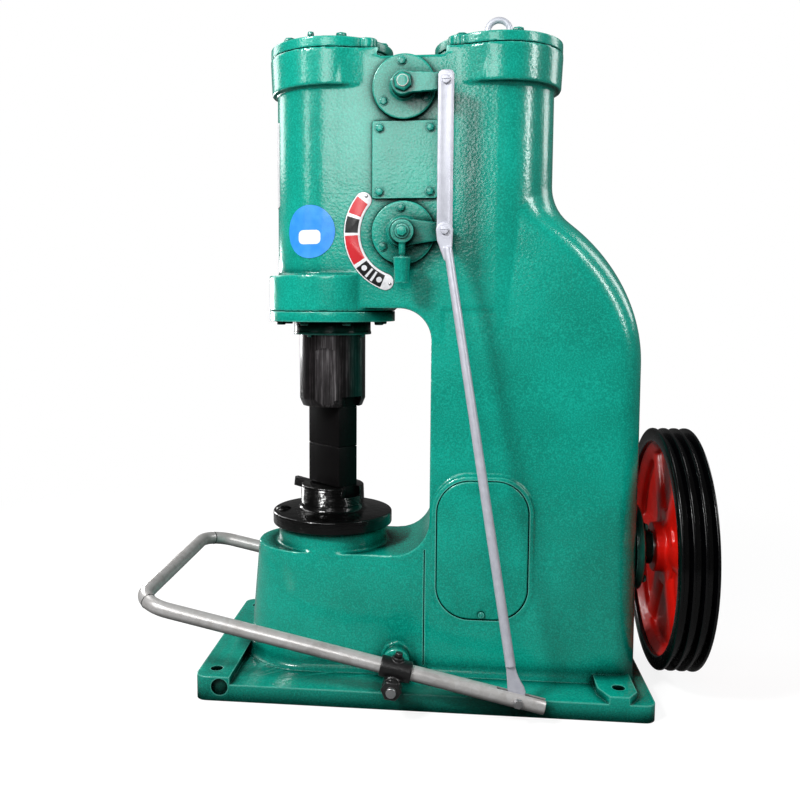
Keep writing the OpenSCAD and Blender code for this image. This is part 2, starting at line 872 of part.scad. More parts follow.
module bearing_cover_bolts() {
    color(green) translate([cap_x, 0, crank_z]) rotate([0, 90, 0])
        around(70, [for (i = [0:3]) 45 + 90 * i]) hex_bolt(4, 6, 36);
}

module shaft_seal() {
    color(black) difference() {
        bar_x(neck_x - 12, neck_x - 1, 0, crank_z, stub_r + 6.9);
        bar_x(neck_x - 13, neck_x, 0, crank_z, stub_r + fit);
    }
}

// Pocket between two pulley arms, sunk from both faces to the thin web, drawn from the hub outwards
module arm_pocket(arm_w) {
    intersection() {
        difference() {
            circle(184);
            circle(88);
        }
        translate([arm_w, 0]) polygon([[0, 0], [300, 300 * tan(180 / arms)], [300, -300 * tan(180 / arms)]]);
    }
}

module pulley() {
    pitch = 20;
    depth = 14;
    rim_in = 206;
    first = (pulley_w - pitch * (grooves - 1)) / 2;
    color(red) translate([pulley_x, 0, crank_z]) rotate([0, 90, 0]) difference() {
        union() {
            rotate_extrude($fn = 128) polygon([
                [rim_in, 0], [pulley_r - 2, 0], [pulley_r, 2],
                for (i = [0:grooves - 1]) let (c = first + i * pitch)
                    each [[pulley_r, c - 7.5], [pulley_r - depth, c - 3.5], [pulley_r - depth, c + 3.5], [pulley_r, c + 7.5]],
                [pulley_r, pulley_w - 2], [pulley_r - 2, pulley_w], [rim_in, pulley_w]
            ]);
            translate([0, 0, 25]) linear_extrude(16) difference() {
                circle(rim_in + 3, $fn = 128);
                circle(40);
                for (i = [0:arms - 1]) rotate(i * 360 / arms) arm_pocket(38);
            }
            translate([0, 0, 30]) cylinder(h = 6, r = rim_in + 3, $fn = 128);
            translate([0, 0, 1]) cylinder(h = 76, r = 48);
        }
        translate([0, 0, -1]) cylinder(h = 90, r = stub_r + 0.02);
        translate([-29, -7, -1]) cube([8, 14, 90]);
    }
}

module pulley_key() {
    color(steel) block([pulley_x + 5, -6.95, crank_z + 19.1], [pulley_x + 71, 6.95, crank_z + 28.8]);
}

module pulley_bolt() {
    color(steel) {
        bar_x(pulley_x + 78, pulley_x + 84, 0, crank_z, 34);
        translate([pulley_x + 84, 0, crank_z]) rotate([0, 90, 0]) cylinder(h = 9, r = 13, $fn = 6);
    }
}

module connecting_rod() {
    big_z = crank_z - throw;
    small_z = big_z + rod_l;
    color(steel) difference() {
        union() {
            bar_x(rear_x - 19, rear_x + 19, 0, big_z, 35);
            bar_x(rear_x - 19, rear_x + 19, 0, small_z, 24);
            block([rear_x - 10, -15, big_z + 20], [rear_x + 10, 15, small_z - 12]);
            for (s = [-1, 1]) translate([rear_x, s * 29, big_z - 26]) cylinder(h = 52, r = 6);
        }
        bar_x(rear_x - 20, rear_x + 20, 0, big_z, 20.02);
        bar_x(rear_x - 20, rear_x + 20, 0, small_z, 14.06);
    }
}

module crank_pin() {
    color(steel) {
        bar_x(rear_x - 19, web_x0 - pin_gap, 0, crank_z - throw, 20);
        bar_x(rear_x - 24, rear_x - 19, 0, crank_z - throw, 25);
    }
}

module wrist_pin() {
    color(steel) bar_x(rear_x - 66, rear_x + 66, 0, piston_low + 48, 14);
}

module compressor_piston() {
    color(steel) difference() {
        translate([rear_x, 0, piston_low]) cylinder(h = piston_high - piston_low, r = rear_bore - fit);
        translate([rear_x, 0, piston_low - 1]) cylinder(h = piston_high - piston_low - 29, r = 60);
        bar_x(rear_x - 80, rear_x + 80, 0, piston_low + 48, 14.03);
        for (i = [0:2]) translate([rear_x, 0, piston_high - 20 - 18 * i]) difference() {
            cylinder(h = 6, r = rear_bore + 1);
            translate([0, 0, -1]) cylinder(h = 8, r = rear_bore - 6);
        }
    }
}

module piston_rings() {
    color(steel) for (i = [0:2]) translate([rear_x, 0, piston_high - 19.9 - 18 * i]) difference() {
        cylinder(h = 5.8, r = rear_bore - 0.03);
        translate([0, 0, -1]) cylinder(h = 8, r = rear_bore - 5.8);
        translate([40, -0.8, -1]) cube([40, 1.6, 8]);
    }
}

// ---- plates on the working cylinder ----

// Outline of the barrel and the flat side beside it, seen from above
module barrel_outline(r) {
    translate([front_x, 0]) circle(r, $fn = 96);
    translate([front_x, -r]) square([100, 2 * r]);
}

// Thin skin over the front barrel, cut to the children drawn facing outwards at an angle
module barrel_skin(angle, z, t) {
    intersection() {
        translate([0, 0, z - 200]) linear_extrude(400) difference() {
            barrel_outline(front_barrel_r + t);
            barrel_outline(front_barrel_r + 0.03);
        }
        translate([front_x, 0, z]) rotate([90, 0, angle]) linear_extrude(200) children();
    }
}

module sign_disc() {
    color([0.1, 0.45, 0.85]) barrel_skin(-16, 866, 0.8) circle(49);
}

module front_plate() {
    color("white") barrel_skin(-82, 997, 1.2) round_rect(62, 160, 4);
}

frame_casting();
front_lid();
rear_lid();
front_lid_bolts();
rear_lid_bolts();
lifting_eye();
guide_flange();
gland_ring();
guide_bolts();
ram();
ram_rings();
upper_die();
upper_die_key();
lower_die();
lower_die_key();
die_holder();
upper_valve();
upper_valve_cover();
upper_cover_bolts();
upper_arm();
upper_arm_nut();
upper_link_pin();
port_cover();
port_cover_bolts();
lower_valve();
lower_valve_cover();
lower_cover_bolts();
lower_arm();
lower_link_pin();
hand_spindle();
hand_lever();
hand_lever_bolt();
scale_plate();
scale_plate_rivets();
link_bar();
link_rod();
treadle_pipe();
treadle_clamps();
clamp_screws();
treadle_shaft();
shaft_nuts();
rod_bolt();
side_cover();
side_cover_screws();
crankshaft();
front_bearing();
rear_bearing();
bearing_cover();
bearing_cover_bolts();
shaft_seal();
pulley();
pulley_key();
pulley_bolt();
connecting_rod();
crank_pin();
wrist_pin();
compressor_piston();
piston_rings();
sign_disc();
front_plate();
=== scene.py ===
import bpy
import bmesh
import math
from mathutils import Matrix, Vector


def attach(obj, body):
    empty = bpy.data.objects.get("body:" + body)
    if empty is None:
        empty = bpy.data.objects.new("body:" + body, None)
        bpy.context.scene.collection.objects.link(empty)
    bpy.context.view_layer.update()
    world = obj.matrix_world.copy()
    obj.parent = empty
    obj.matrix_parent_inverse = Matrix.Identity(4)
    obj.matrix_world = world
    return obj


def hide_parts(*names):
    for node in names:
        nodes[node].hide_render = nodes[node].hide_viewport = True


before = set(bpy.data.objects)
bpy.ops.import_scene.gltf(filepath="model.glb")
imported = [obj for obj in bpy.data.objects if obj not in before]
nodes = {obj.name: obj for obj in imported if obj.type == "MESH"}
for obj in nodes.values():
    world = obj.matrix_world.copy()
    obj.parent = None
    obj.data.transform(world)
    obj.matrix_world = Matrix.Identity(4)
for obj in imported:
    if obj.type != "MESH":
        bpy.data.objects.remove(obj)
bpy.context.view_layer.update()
print("frame loaded:", len(nodes), "nodes")


# colour and node helpers

def linear(hexColour):
    channels = [int(hexColour[i:i + 2], 16) / 255 for i in (1, 3, 5)]
    return [c / 12.92 if c <= 0.04045 else ((c + 0.055) / 1.055) ** 2.4 for c in channels] + [1]


def perMetre(millimetres):
    # a noise cell is about one unit wide, so its scale is one over the real size
    return 1000 / millimetres


def plug(tree, source, socket):
    # a node gives the first output that it shows
    if isinstance(source, bpy.types.Node):
        source = [output for output in source.outputs if output.enabled][0]
    tree.links.new(source, socket)


def addNode(tree, kind, inputs=(), stops=(), **options):
    # inputs are numbers, hex colours, nodes or sockets: by name, or in the order the node shows them
    node = tree.nodes.new("ShaderNode" + kind)
    for key, value in options.items():
        setattr(node, key, value)
    elements = node.color_ramp.elements if stops else []
    while len(elements) < len(stops):
        elements.new(0.5)
    for element, (position, tone) in zip(elements, stops):
        element.position = position
        element.color = linear(tone) if isinstance(tone, str) else (tone, tone, tone, 1)
    shown = [socket for socket in node.inputs if socket.enabled]
    for key, value in inputs.items() if isinstance(inputs, dict) else enumerate(inputs):
        socket = node.inputs[key] if isinstance(key, str) else shown[key]
        if isinstance(value, (bpy.types.Node, bpy.types.NodeSocket)):
            plug(tree, value, socket)
        else:
            socket.default_value = linear(value) if isinstance(value, str) else value
    return node


def newFinish(name, values, patterns):
    # a material and the fields that its colour, gloss and relief share: its place on the hammer, and
    # noises given by their real size in millimetres, detail, roughness and, where a tool drew them
    # out, stretch; a name alone is a measure of the surface's own geometry
    material = bpy.data.materials.new(name)
    material.use_nodes = True
    tree = material.node_tree
    shader = tree.nodes["Principled BSDF"]
    for key, value in values.items():
        shader.inputs[key].default_value = value
    place = addNode(tree, "TexCoord").outputs["Object"]
    fields = {"place": place}
    for key, pattern in patterns.items():
        if isinstance(pattern, str):
            fields[key] = addNode(tree, "NewGeometry").outputs[pattern]
            continue
        size, detail, roughness, *stretch = pattern
        where = addNode(tree, "Mapping", {"Vector": place, "Scale": stretch[0]}) if stretch else place
        fields[key] = addNode(tree, "TexNoise", {
            "Vector": where, "Scale": perMetre(size), "Detail": detail, "Roughness": roughness})
    return material, tree, shader, fields


def coloured(tree, fields, layers, tone=None):
    # each layer lays its colour over the last where its field, read through the ramp, says so
    for key, stops, colour in layers:
        share = addNode(tree, "ValToRGB", (fields[key],), stops)
        tone = addNode(tree, "Mix", (share, tone, colour), data_type="RGBA") if colour else share
    return tone


def shaded(tree, tone, shade):
    return addNode(tree, "Mix", (1.0, tone, shade), data_type="RGBA", blend_type="MULTIPLY")


def closeFinish(tree, shader, fields, tone, rough=None, relief=(), coat=False):
    # rough is a field, its gain and the least roughness; relief is a field, its depth in millimetres and
    # its strength, the deepest first; coat tells whether the clear coat follows the relief
    plug(tree, tone, shader.inputs["Base Color"])
    if rough:
        key, gain, least = rough
        sheen = addNode(tree, "Math", (fields[key], gain, least), operation="MULTIPLY_ADD")
        plug(tree, sheen, shader.inputs["Roughness"])
    skin = None
    for key, depth, strength in relief:
        inputs = {"Height": fields[key], "Distance": depth / 1000, "Strength": strength}
        skin = addNode(tree, "Bump", {**inputs, "Normal": skin} if skin else inputs)
    for socket in ("Normal", "Coat Normal") if coat else ("Normal",) if relief else ():
        plug(tree, skin, shader.inputs[socket])


def finish(name, values, patterns, layers, tone=None, **surface):
    material, tree, shader, fields = newFinish(name, values, patterns)
    closeFinish(tree, shader, fields, coloured(tree, fields, layers, tone), **surface)
    return material


# materials: paints. Real orange peel and grit are finer than this, and are drawn as coarse as they
# need to be to show at the hammer's full height

enamelCoat = {"gloss": 0.35, "hollowReach": 45, "edgeReach": 5, "edgeShare": 0.6, "bedShade": 0.85}


def castingEnamel(name, colour, shade, light, grain):
    # air-drying gloss enamel brushed over filled grey iron: glossy, with an orange peel that breaks
    # up every reflection; painted shade makes it darker and duller in the hollows and under overhangs
    d = enamelCoat
    material, tree, shader, fields = newFinish(name, {
        "Roughness": 0.24, "IOR": 1.5, "Coat Weight": 0.8, "Coat Roughness": 0.14, "Coat IOR": 1.5}, {
        "cloud": (grain["cloud"], 3, 0.5), "speck": (grain["speck"], 2, 0.6),
        "peel": (grain["peel"], 3, 0.55), "filler": (grain["filler"], 2, 0.5)})
    # the cloud varies the colour at random; the light and dark specks (light, and grain deep) are painted
    # highlight and painted shade for the peel's glints
    tone = coloured(tree, fields, [
        ("cloud", [(0.35, shade), (0.65, colour)], None),
        ("speck", [(0.5, 0), (0.64, 0.42)], light), ("speck", [(0.36, 0.38), (0.5, 0)], grain["deep"])])
    hollow = addNode(tree, "AmbientOcclusion", {"Distance": d["hollowReach"] / 1000}, samples=6)
    # painted shade: ambient occlusion darkens the colour in hollows, under flanges and between parts
    hollowShade = addNode(tree, "ValToRGB", (hollow.outputs["AO"],), [(0.62, 0.02), (0.9, 1.0)])
    tone = shaded(tree, tone, hollowShade)
    # the same painted shade takes the coat and the reflection out of those places
    for socket, most in (("Coat Weight", grain["coat"]), ("Specular IOR Level", d["gloss"])):
        plug(tree, addNode(tree, "Math", (hollowShade, most), operation="MULTIPLY"), shader.inputs[socket])
    if "shadeTop" in grain:
        # painted shade: the bed and its ledges are darkened, most below the height shadeLow
        height = addNode(tree, "SeparateXYZ", (fields["place"],)).outputs["Z"]
        tone = shaded(tree, tone, addNode(tree, "MapRange", (
            height, grain["shadeLow"] / 1000, grain["shadeTop"] / 1000, d["bedShade"], 1.0)))
    # painted highlight: the colour is lightened along the outer edges, where they catch the light
    softened = addNode(tree, "Bevel", {"Radius": d["edgeReach"] / 1000}, samples=6)
    flat = addNode(tree, "NewGeometry").outputs["True Normal"]
    turn = addNode(tree, "VectorMath", (flat, softened), operation="DOT_PRODUCT")
    edge = addNode(tree, "ValToRGB", (turn,), [(0.8, d["edgeShare"]), (0.97, 0)])
    edge = addNode(tree, "Math", (edge, hollowShade), operation="MULTIPLY")
    tone = addNode(tree, "Mix", (edge, tone, grain["rim"]), data_type="RGBA")
    fields["pits"] = addNode(tree, "TexVoronoi", {
        "Vector": fields["place"], "Scale": perMetre(grain["peel"] * 1.6), "Smoothness": 0.6},
        feature="SMOOTH_F1")
    closeFinish(tree, shader, fields, tone, ("speck", 0.14, 0.17), [
        ("filler", grain["fillerDepth"], 1), ("pits", grain["peelDepth"], 1),
        ("peel", grain["peelDepth"] * 0.8, 1)], coat=True)
    return material


# in each grain, rim is the colour of the painted highlight along the edges
plateGrain = {"coat": 0.35, "cloud": 90, "speck": 2.8, "peel": 3.4, "peelDepth": 0.22, "filler": 30,
              "fillerDepth": 0.3, "deep": "#036C60", "rim": "#7FD8CA"}
castGrain = {**plateGrain, "coat": 0.5, "cloud": 130, "peelDepth": 0.2, "filler": 46, "fillerDepth": 0.6,
             "shadeLow": 36, "shadeTop": 60}
smallGrain = {"coat": 0.35, "cloud": 20, "speck": 2.2, "peel": 2.6, "peelDepth": 0.09, "filler": 9,
              "fillerDepth": 0.12, "deep": "#036558", "rim": "#6CC8BA"}
# the third colour of each enamel is that of its painted highlight specks
tealTones = ("#049A86", "#038774", "#17B8A2")
enamelOnCasting = castingEnamel("teal_enamel_on_cast_iron", *tealTones, castGrain)
enamelOnPlate = castingEnamel("teal_enamel_on_machined_cover", *tealTones, plateGrain)
enamelOnFitting = castingEnamel("teal_enamel_on_small_fittings", "#059280", "#047E6E", "#18AC97", smallGrain)
# painted shade: a darker copy of the teal enamel, for parts that sit in shade under the guide, in the bed's
# recess and at the rear
shadedEnamel = castingEnamel("teal_enamel_with_painted_shade", "#075246", "#054136", "#0B6656", smallGrain)


def glossEnamel(name, colour, deep, wear, peelSize, peelDepth, roughness, gloss):
    # sprayed gloss enamel on a turned rim: mirror-like, with a faint peel and rubbed high spots
    return finish(name, {
        "Roughness": roughness, "IOR": 1.5, "Specular IOR Level": gloss, "Coat Weight": gloss,
        "Coat Roughness": 0.08}, {"cloud": (60, 4, 0.5), "scuff": (7, 6, 0.7), "peel": (peelSize, 2, 0.5)}, [
        ("cloud", [(0.3, deep), (0.7, colour)], None), ("scuff", [(0.62, 0), (0.78, 0.35)], wear)],
        rough=("scuff", 0.25, roughness - 0.08), relief=[("peel", peelDepth, 1)], coat=True)


blackTones, redTones = ("#020203", "#010102", "#080809"), ("#DE1A10", "#B8120B", "#E83A28")
blackEnamel = glossEnamel("gloss_black_enamel_on_turned_rim", *blackTones, 8, 0.1, 0.2, 0.25)
redEnamel = glossEnamel("signal_red_enamel_on_cast_web", *redTones, 9, 0.5, 0.3, 0.16)

# silver-grey hammer-finish paint on mild steel flats: satin, a little mottled, soft glints
silverPaint = finish("silver_grey_paint_on_mild_steel", {
    "Roughness": 0.42, "Metallic": 0.25, "IOR": 1.5, "Coat Weight": 0.25, "Coat Roughness": 0.3},
    {"mottle": (14, 5, 0.6), "fleck": (1.2, 2, 0.5)}, [
    ("mottle", [(0.3, "#B4B6C1"), (0.55, "#BFC1CB"), (0.75, "#C9CBD5")], None),
    ("fleck", [(0.55, 0), (0.7, 0.3)], "#DADBE2")],
    rough=("mottle", 0.2, 0.3), relief=[("mottle", 0.16, 1), ("fleck", 0.03, 0.6)])


# materials: bare and treated metals

def surfaceNormal(tree, axis):
    return addNode(tree, "SeparateXYZ", (addNode(tree, "TexCoord").outputs["Normal"],)).outputs[axis]


def ramSteel():
    # ground steel kept under a film of dark oil: brown-black with fine vertical grinding lines
    material, tree, shader, fields = newFinish("oiled_ground_steel_ram", {
        "Metallic": 0.85, "Roughness": 0.38, "Coat Weight": 0.5, "Coat Roughness": 0.15},
        {"streak": (3.5, 6, 0.7, (1, 1, 0.035)), "stain": (40, 4, 0.6)})
    # the faces turned to either side are lightened: the flats' rub from the guide, and painted highlight
    fields["flat"] = addNode(tree, "Math", (surfaceNormal(tree, "Y"),), operation="ABSOLUTE")
    bright = addNode(tree, "ValToRGB", (fields["streak"],), [
        (0.3, "#2C292A"), (0.5, "#5A5658"), (0.7, "#A8A4A6")])
    tone = coloured(tree, fields, [
        ("streak", [(0.3, "#131011"), (0.5, "#2A2628"), (0.72, "#5A5456")], None),
        ("stain", [(0.4, 0), (0.7, 0.8)], "#110F0F"), ("flat", [(0.93, 0), (0.99, 0.6)], bright)])
    closeFinish(tree, shader, fields, tone, ("streak", 0.35, 0.2), [("streak", 0.12, 0.7)])
    return material


def forgedBlack(name, base, glint, scale, depth, roughness, gloss, rubbed):
    # quenched and oiled tool steel: near black scale, dull with small bright rubs at the corners
    patterns, layers = {"scale": (scale, 6, 0.65)}, [("scale", [(0.3, base), (0.75, glint)], None)]
    if rubbed:
        patterns["corner"] = "Pointiness"
        layers.append(("corner", [(0.52, 0), (0.6, rubbed)], "#6E6C6A"))
    return finish(name, {
        "Roughness": roughness, "Specular IOR Level": gloss, "Coat Weight": gloss / 2,
        "Coat Roughness": 0.25}, patterns, layers,
        rough=("scale", 0.35, roughness - 0.17), relief=[("scale", depth, 1)])


def zincPipe():
    # hot-dip galvanised pipe, handled and stained: pale spangle with brown-grey blotches
    material, tree, shader, fields = newFinish("galvanised_steel_pipe", {
        "Metallic": 0.4, "Roughness": 0.34}, {"blotch": (28, 6, 0.68), "grime": (70, 5, 0.7)})
    fields["grime"].inputs["Distortion"].default_value = 0.4
    spangle = addNode(tree, "TexVoronoi", {"Vector": fields["place"], "Scale": perMetre(9)}, feature="F1")
    fields["spangle"] = spangle.outputs["Color"]
    tone = coloured(tree, fields, [
        ("spangle", [(0.2, 0), (0.8, 0.35)], "#D0D0D1"), ("blotch", [(0.5, 0), (0.7, 0.4)], "#8A8480"),
        ("grime", [(0.52, 0), (0.76, 0.4)], "#5A5350")], "#BAB8B6")
    # painted shade: the colour darkens on the underside of the pipe
    upward = addNode(tree, "Math", (surfaceNormal(tree, "Z"), 0.5, 0.5), operation="MULTIPLY_ADD")
    tone = shaded(tree, tone, addNode(tree, "ValToRGB", (upward,), [(0.12, 0.28), (0.46, 1.0)]))
    closeFinish(tree, shader, fields, tone, ("blotch", 0.2, 0.22), [("blotch", 0.12, 1)])
    return material


def machinedSteel(name, tone, stretch, roughness):
    # turned or ground mild steel: bright grey with tool lines along one direction
    return finish(name, {"Metallic": 1.0, "Roughness": roughness},
                  {"lines": (1.6, 4, 0.6, stretch), "tarnish": (22, 4, 0.6)},
                  [("tarnish", [(0.35, 0), (0.75, 0.6)], "#77726D")], tone,
                  rough=("lines", 0.3, roughness - 0.12), relief=[("lines", 0.05, 1)])


oiledSteel = ramSteel()
dieSteel = forgedBlack("oil_quenched_die_steel", "#060505", "#0D0C0D", 5, 0.1, 0.45, 0.08, 0)
clampBlack = forgedBlack("blackened_clamp_steel", "#080809", "#161516", 7, 0.35, 0.36, 0.4, 0.1)
galvanised = zincPipe()
turnedSteel = machinedSteel("turned_shaft_steel", "#B4B2AE", (0.06, 1, 1), 0.3)
boredSteel = machinedSteel("ground_valve_steel", "#A9A7A2", (1, 0.06, 1), 0.26)
zincBolt = machinedSteel("zinc_plated_fastener", "#BDBDBF", (1, 1, 1), 0.34)

# turned steel under gloss black lacquer: tool marks run round it and ripple the reflections
lacqueredSteel = finish("black_lacquer_on_turned_steel", {
    "Roughness": 0.22, "Specular IOR Level": 0.2, "Coat Weight": 0.3, "Coat Roughness": 0.1},
    {"ripple": (5, 2, 0.5, (0.12, 0.12, 1)), "drips": (16, 3, 0.5)},
    [("drips", [(0.35, "#020202"), (0.7, "#060606")], None)],
    relief=[("drips", 1.2, 1), ("ripple", 1.1, 1)], coat=True)

# moulded nitrile rubber lip seal: matt black with a dusty bloom
rubber = finish("nitrile_rubber_seal", {"Roughness": 0.7, "IOR": 1.52}, {"bloom": (3, 4, 0.5)},
                [("bloom", [(0.4, "#101010"), (0.75, "#2A2927")], None)], relief=[("bloom", 0.05, 1)])
print("paints and metals made:", len(bpy.data.materials))


# materials: printed scale and signs

def within(tree, value, low, high):
    above = addNode(tree, "Math", (value, low), operation="GREATER_THAN")
    below = addNode(tree, "Math", (value, high), operation="LESS_THAN")
    return addNode(tree, "Math", (above, below), operation="MULTIPLY")


def printedScale(d):
    # screen-printed aluminium: white enamel ground with red and black fields, under a satin lacquer
    material, tree, shader, fields = newFinish("printed_aluminium_scale", {
        "Roughness": 0.32, "IOR": 1.5, "Coat Weight": 0.3, "Coat Roughness": 0.2}, {"wear": (5, 5, 0.65)})
    # the place on the dial as a radius in metres and an angle in degrees, 0 to 360
    middle = (d["centreX"] / 1000, 0, d["centreZ"] / 1000)
    arm = addNode(tree, "VectorMath", (fields["place"], middle), operation="SUBTRACT")
    arm = addNode(tree, "VectorMath", (arm, (1, 0, 1)), operation="MULTIPLY")
    axes = addNode(tree, "SeparateXYZ", (arm,)).outputs
    radius = addNode(tree, "VectorMath", (arm,), operation="LENGTH")
    angle = addNode(tree, "Math", (axes["Z"], axes["X"]), operation="ARCTAN2")
    angle = addNode(tree, "Math", (angle, 180 / math.pi), operation="MULTIPLY")
    angle = addNode(tree, "Math", (angle, 360, 0), operation="WRAP")
    marks = []
    for colour, low, high in d["fields"]:
        marks.append((colour, d["inner"], d["outer"], low, high))
    for turn in d["bars"]:
        marks.append((d["markTone"], d["barInner"], d["barOuter"], turn - d["barHalf"], turn + d["barHalf"]))
    tone = coloured(tree, fields, [("wear", [(0.35, "#D9DADD"), (0.6, "#ECECEE")], None)])
    for colour, inner, outer, low, high in marks:
        band = within(tree, radius, inner / 1000, outer / 1000)
        share = addNode(tree, "Math", (band, within(tree, angle, low, high)), operation="MULTIPLY")
        tone = addNode(tree, "Mix", (share, tone, colour), data_type="RGBA")
    for turn in d["dots"]:
        x, z = (d["dotRadius"] / 1000 * part(math.radians(turn)) for part in (math.cos, math.sin))
        away = addNode(tree, "VectorMath", (arm, (x, 0, z)), operation="DISTANCE")
        share = addNode(tree, "Math", (away, d["dotSize"] / 1000), operation="LESS_THAN")
        tone = addNode(tree, "Mix", (share, tone, d["markTone"]), data_type="RGBA")
    closeFinish(tree, shader, fields, tone, ("wear", 0.3, 0.2))
    return material


scalePrint = printedScale({
    "centreX": -41, "centreZ": 862, "inner": 84, "outer": 108,
    "fields": [("#C2202B", 141.5, 159.5), ("#0E0E10", 163, 179.5), ("#C8202A", 182.5, 212.5),
               ("#0E0E10", 216.5, 247)],
    "bars": (229.0, 235.5), "barHalf": 1.3, "barInner": 86, "barOuter": 106,
    "dots": (221.5, 242.5), "dotRadius": 96, "dotSize": 5.2, "markTone": "#E4E5E8"})


def vinylFilm(name, ground, mark):
    # cast vinyl film: smooth and faintly glossy, its edge sealed down on the paint
    material, tree, shader, fields = newFinish(name, {
        "Roughness": 0.3, "IOR": 1.46, "Coat Weight": 0.2}, {"fade": (18, 4, 0.5), "skin": (4, 2, 0.5)})
    tone = coloured(tree, fields, [("fade", [(0.3, ground[0]), (0.7, ground[1])], None)])
    if mark:
        # a plain white bar with rounded ends
        centre, corner = (mark["x"] / 1000, 0, mark["z"] / 1000), mark["corner"] / 1000
        straight = (mark["width"] / 2000 - corner, 1, mark["height"] / 2000 - corner)
        past = addNode(tree, "VectorMath", (fields["place"], centre), operation="SUBTRACT")
        past = addNode(tree, "VectorMath", (past,), operation="ABSOLUTE")
        past = addNode(tree, "VectorMath", (past, straight), operation="SUBTRACT")
        past = addNode(tree, "VectorMath", (past, (0, 0, 0)), operation="MAXIMUM")
        past = addNode(tree, "VectorMath", (past,), operation="LENGTH")
        inside = addNode(tree, "Math", (past, corner), operation="LESS_THAN")
        tone = addNode(tree, "Mix", (inside, tone, mark["colour"]), data_type="RGBA")
    closeFinish(tree, shader, fields, tone, ("fade", 0.2, 0.22), [("skin", 0.08, 1)])
    return material


signBlue = vinylFilm("blue_vinyl_sign", ("#2A86E0", "#3B97EC"),
                     {"x": -216.5, "z": 856, "width": 43, "height": 26, "corner": 9, "colour": "#E6E8F4"})
plateWhite = vinylFilm("white_enamelled_plate", ("#D8DADC", "#E9EAEC"), None)


# modelling helpers, all in millimetres in the part's own frame

def newObject(name, mesh):
    piece = bpy.data.objects.new(name, mesh)
    bpy.context.scene.collection.objects.link(piece)
    return piece


def fromShell(shell):
    mesh = bpy.data.meshes.new("shell")
    shell.to_mesh(mesh)
    shell.free()
    return newObject("shell", mesh)


def meshObject(points, faces):
    mesh = bpy.data.meshes.new("shape")
    mesh.from_pydata([Vector(p) / 1000 for p in points], [], faces)
    mesh.validate()
    shell = bmesh.new()
    shell.from_mesh(mesh)
    bmesh.ops.remove_doubles(shell, verts=shell.verts, dist=1e-6)
    bmesh.ops.recalc_face_normals(shell, faces=shell.faces)
    shell.to_mesh(mesh)
    shell.free()
    return newObject("shape", mesh)


axisFrames = {
    "Z": lambda r, a, h: (r * math.cos(a), r * math.sin(a), h),
    "X": lambda r, a, h: (h, r * math.cos(a), r * math.sin(a)),
    "Y": lambda r, a, h: (r * math.cos(a), h, r * math.sin(a))}


def turned(profile, centre=(0, 0, 0), axis="Z", steps=96, start=0):
    # a closed profile of (radius, height) points, turned round an axis through centre
    points, faces, size = [], [], len(profile)
    for row in range(steps):
        angle = math.radians(start + 360 * row / steps)
        points += [Vector(centre) + Vector(axisFrames[axis](r, angle, h)) for r, h in profile]
    for row in range(steps):
        here, there = row * size, ((row + 1) % steps) * size
        for i in range(size):
            j = (i + 1) % size
            if profile[i][0] == 0 and profile[j][0] == 0:
                continue
            ring = [here + i, here + j, there + j, there + i]
            if profile[i][0] == 0:
                ring = ring[:3]
            elif profile[j][0] == 0:
                ring = [ring[0], ring[1], ring[3]]
            faces.append(ring)
    return meshObject(points, faces)


def rod(radius, start, end, axis="Z", centre=(0, 0, 0), steps=64):
    return turned([(0, start), (radius, start), (radius, end), (0, end)], centre, axis, steps)


def edgedRod(radius, start, end, edge, axis="Z", centre=(0, 0, 0), steps=64):
    # a rod whose two rims are rounded
    rims = arc(radius - edge, start + edge, edge, -90, 0, 4) + arc(radius - edge, end - edge, edge, 0, 90, 4)
    return turned([(0, start)] + rims + [(0, end)], centre, axis, steps)


planes = {"XY": lambda a, b, h: (a, b, h), "XZ": lambda a, b, h: (a, h, b), "YZ": lambda a, b, h: (h, a, b)}


def prism(outline, low, high, plane="XY"):
    size = len(outline)
    points = [planes[plane](a, b, height) for height in (low, high) for a, b in outline]
    faces = [list(range(size)), list(range(size, 2 * size))]
    faces += [[i, (i + 1) % size, size + (i + 1) % size, size + i] for i in range(size)]
    return meshObject(points, faces)


def box(low, high):
    (x, y, z), (farX, farY, top) = low, high
    return prism([(x, y), (farX, y), (farX, farY), (x, farY)], z, top)


def arc(x, y, radius, start, end, steps=8):
    angles = [math.radians(start + (end - start) * i / steps) for i in range(steps + 1)]
    return [(x + radius * math.cos(a), y + radius * math.sin(a)) for a in angles]


def roundedRectangle(x, y, width, height, radius, steps=8):
    a, b = width / 2 - radius, height / 2 - radius
    return (arc(x + a, y + b, radius, 0, 90, steps) + arc(x - a, y + b, radius, 90, 180, steps)
            + arc(x - a, y - b, radius, 180, 270, steps) + arc(x + a, y - b, radius, 270, 360, steps))


def placed(piece, move=(0, 0, 0), turn=0, axis="Z"):
    # turns the mesh about an axis through the origin, then moves it
    rotation = Matrix.Rotation(math.radians(turn), 4, axis)
    piece.data.transform(Matrix.Translation(Vector(move) / 1000) @ rotation)
    return piece


def shrunk(piece, x, y, z):
    piece.data.transform(Matrix.Diagonal((x, y, z, 1)))
    return piece


def joined(parts):
    shell = bmesh.new()
    for part in parts:
        shell.from_mesh(part.data)
        bpy.data.objects.remove(part)
    return fromShell(shell)


def applied(piece, kind, **settings):
    modifier = piece.modifiers.new(kind, kind)
    for key, value in settings.items():
        setattr(modifier, key, value)
    bpy.context.view_layer.objects.active = piece
    bpy.ops.object.modifier_apply(modifier=modifier.name)
    return piece


def cutAway(piece, cutters, solver="MANIFOLD"):
    for cutter in cutters:
        applied(piece, "BOOLEAN", operation="DIFFERENCE", solver=solver, object=cutter)
        bpy.data.objects.remove(cutter)
    return piece


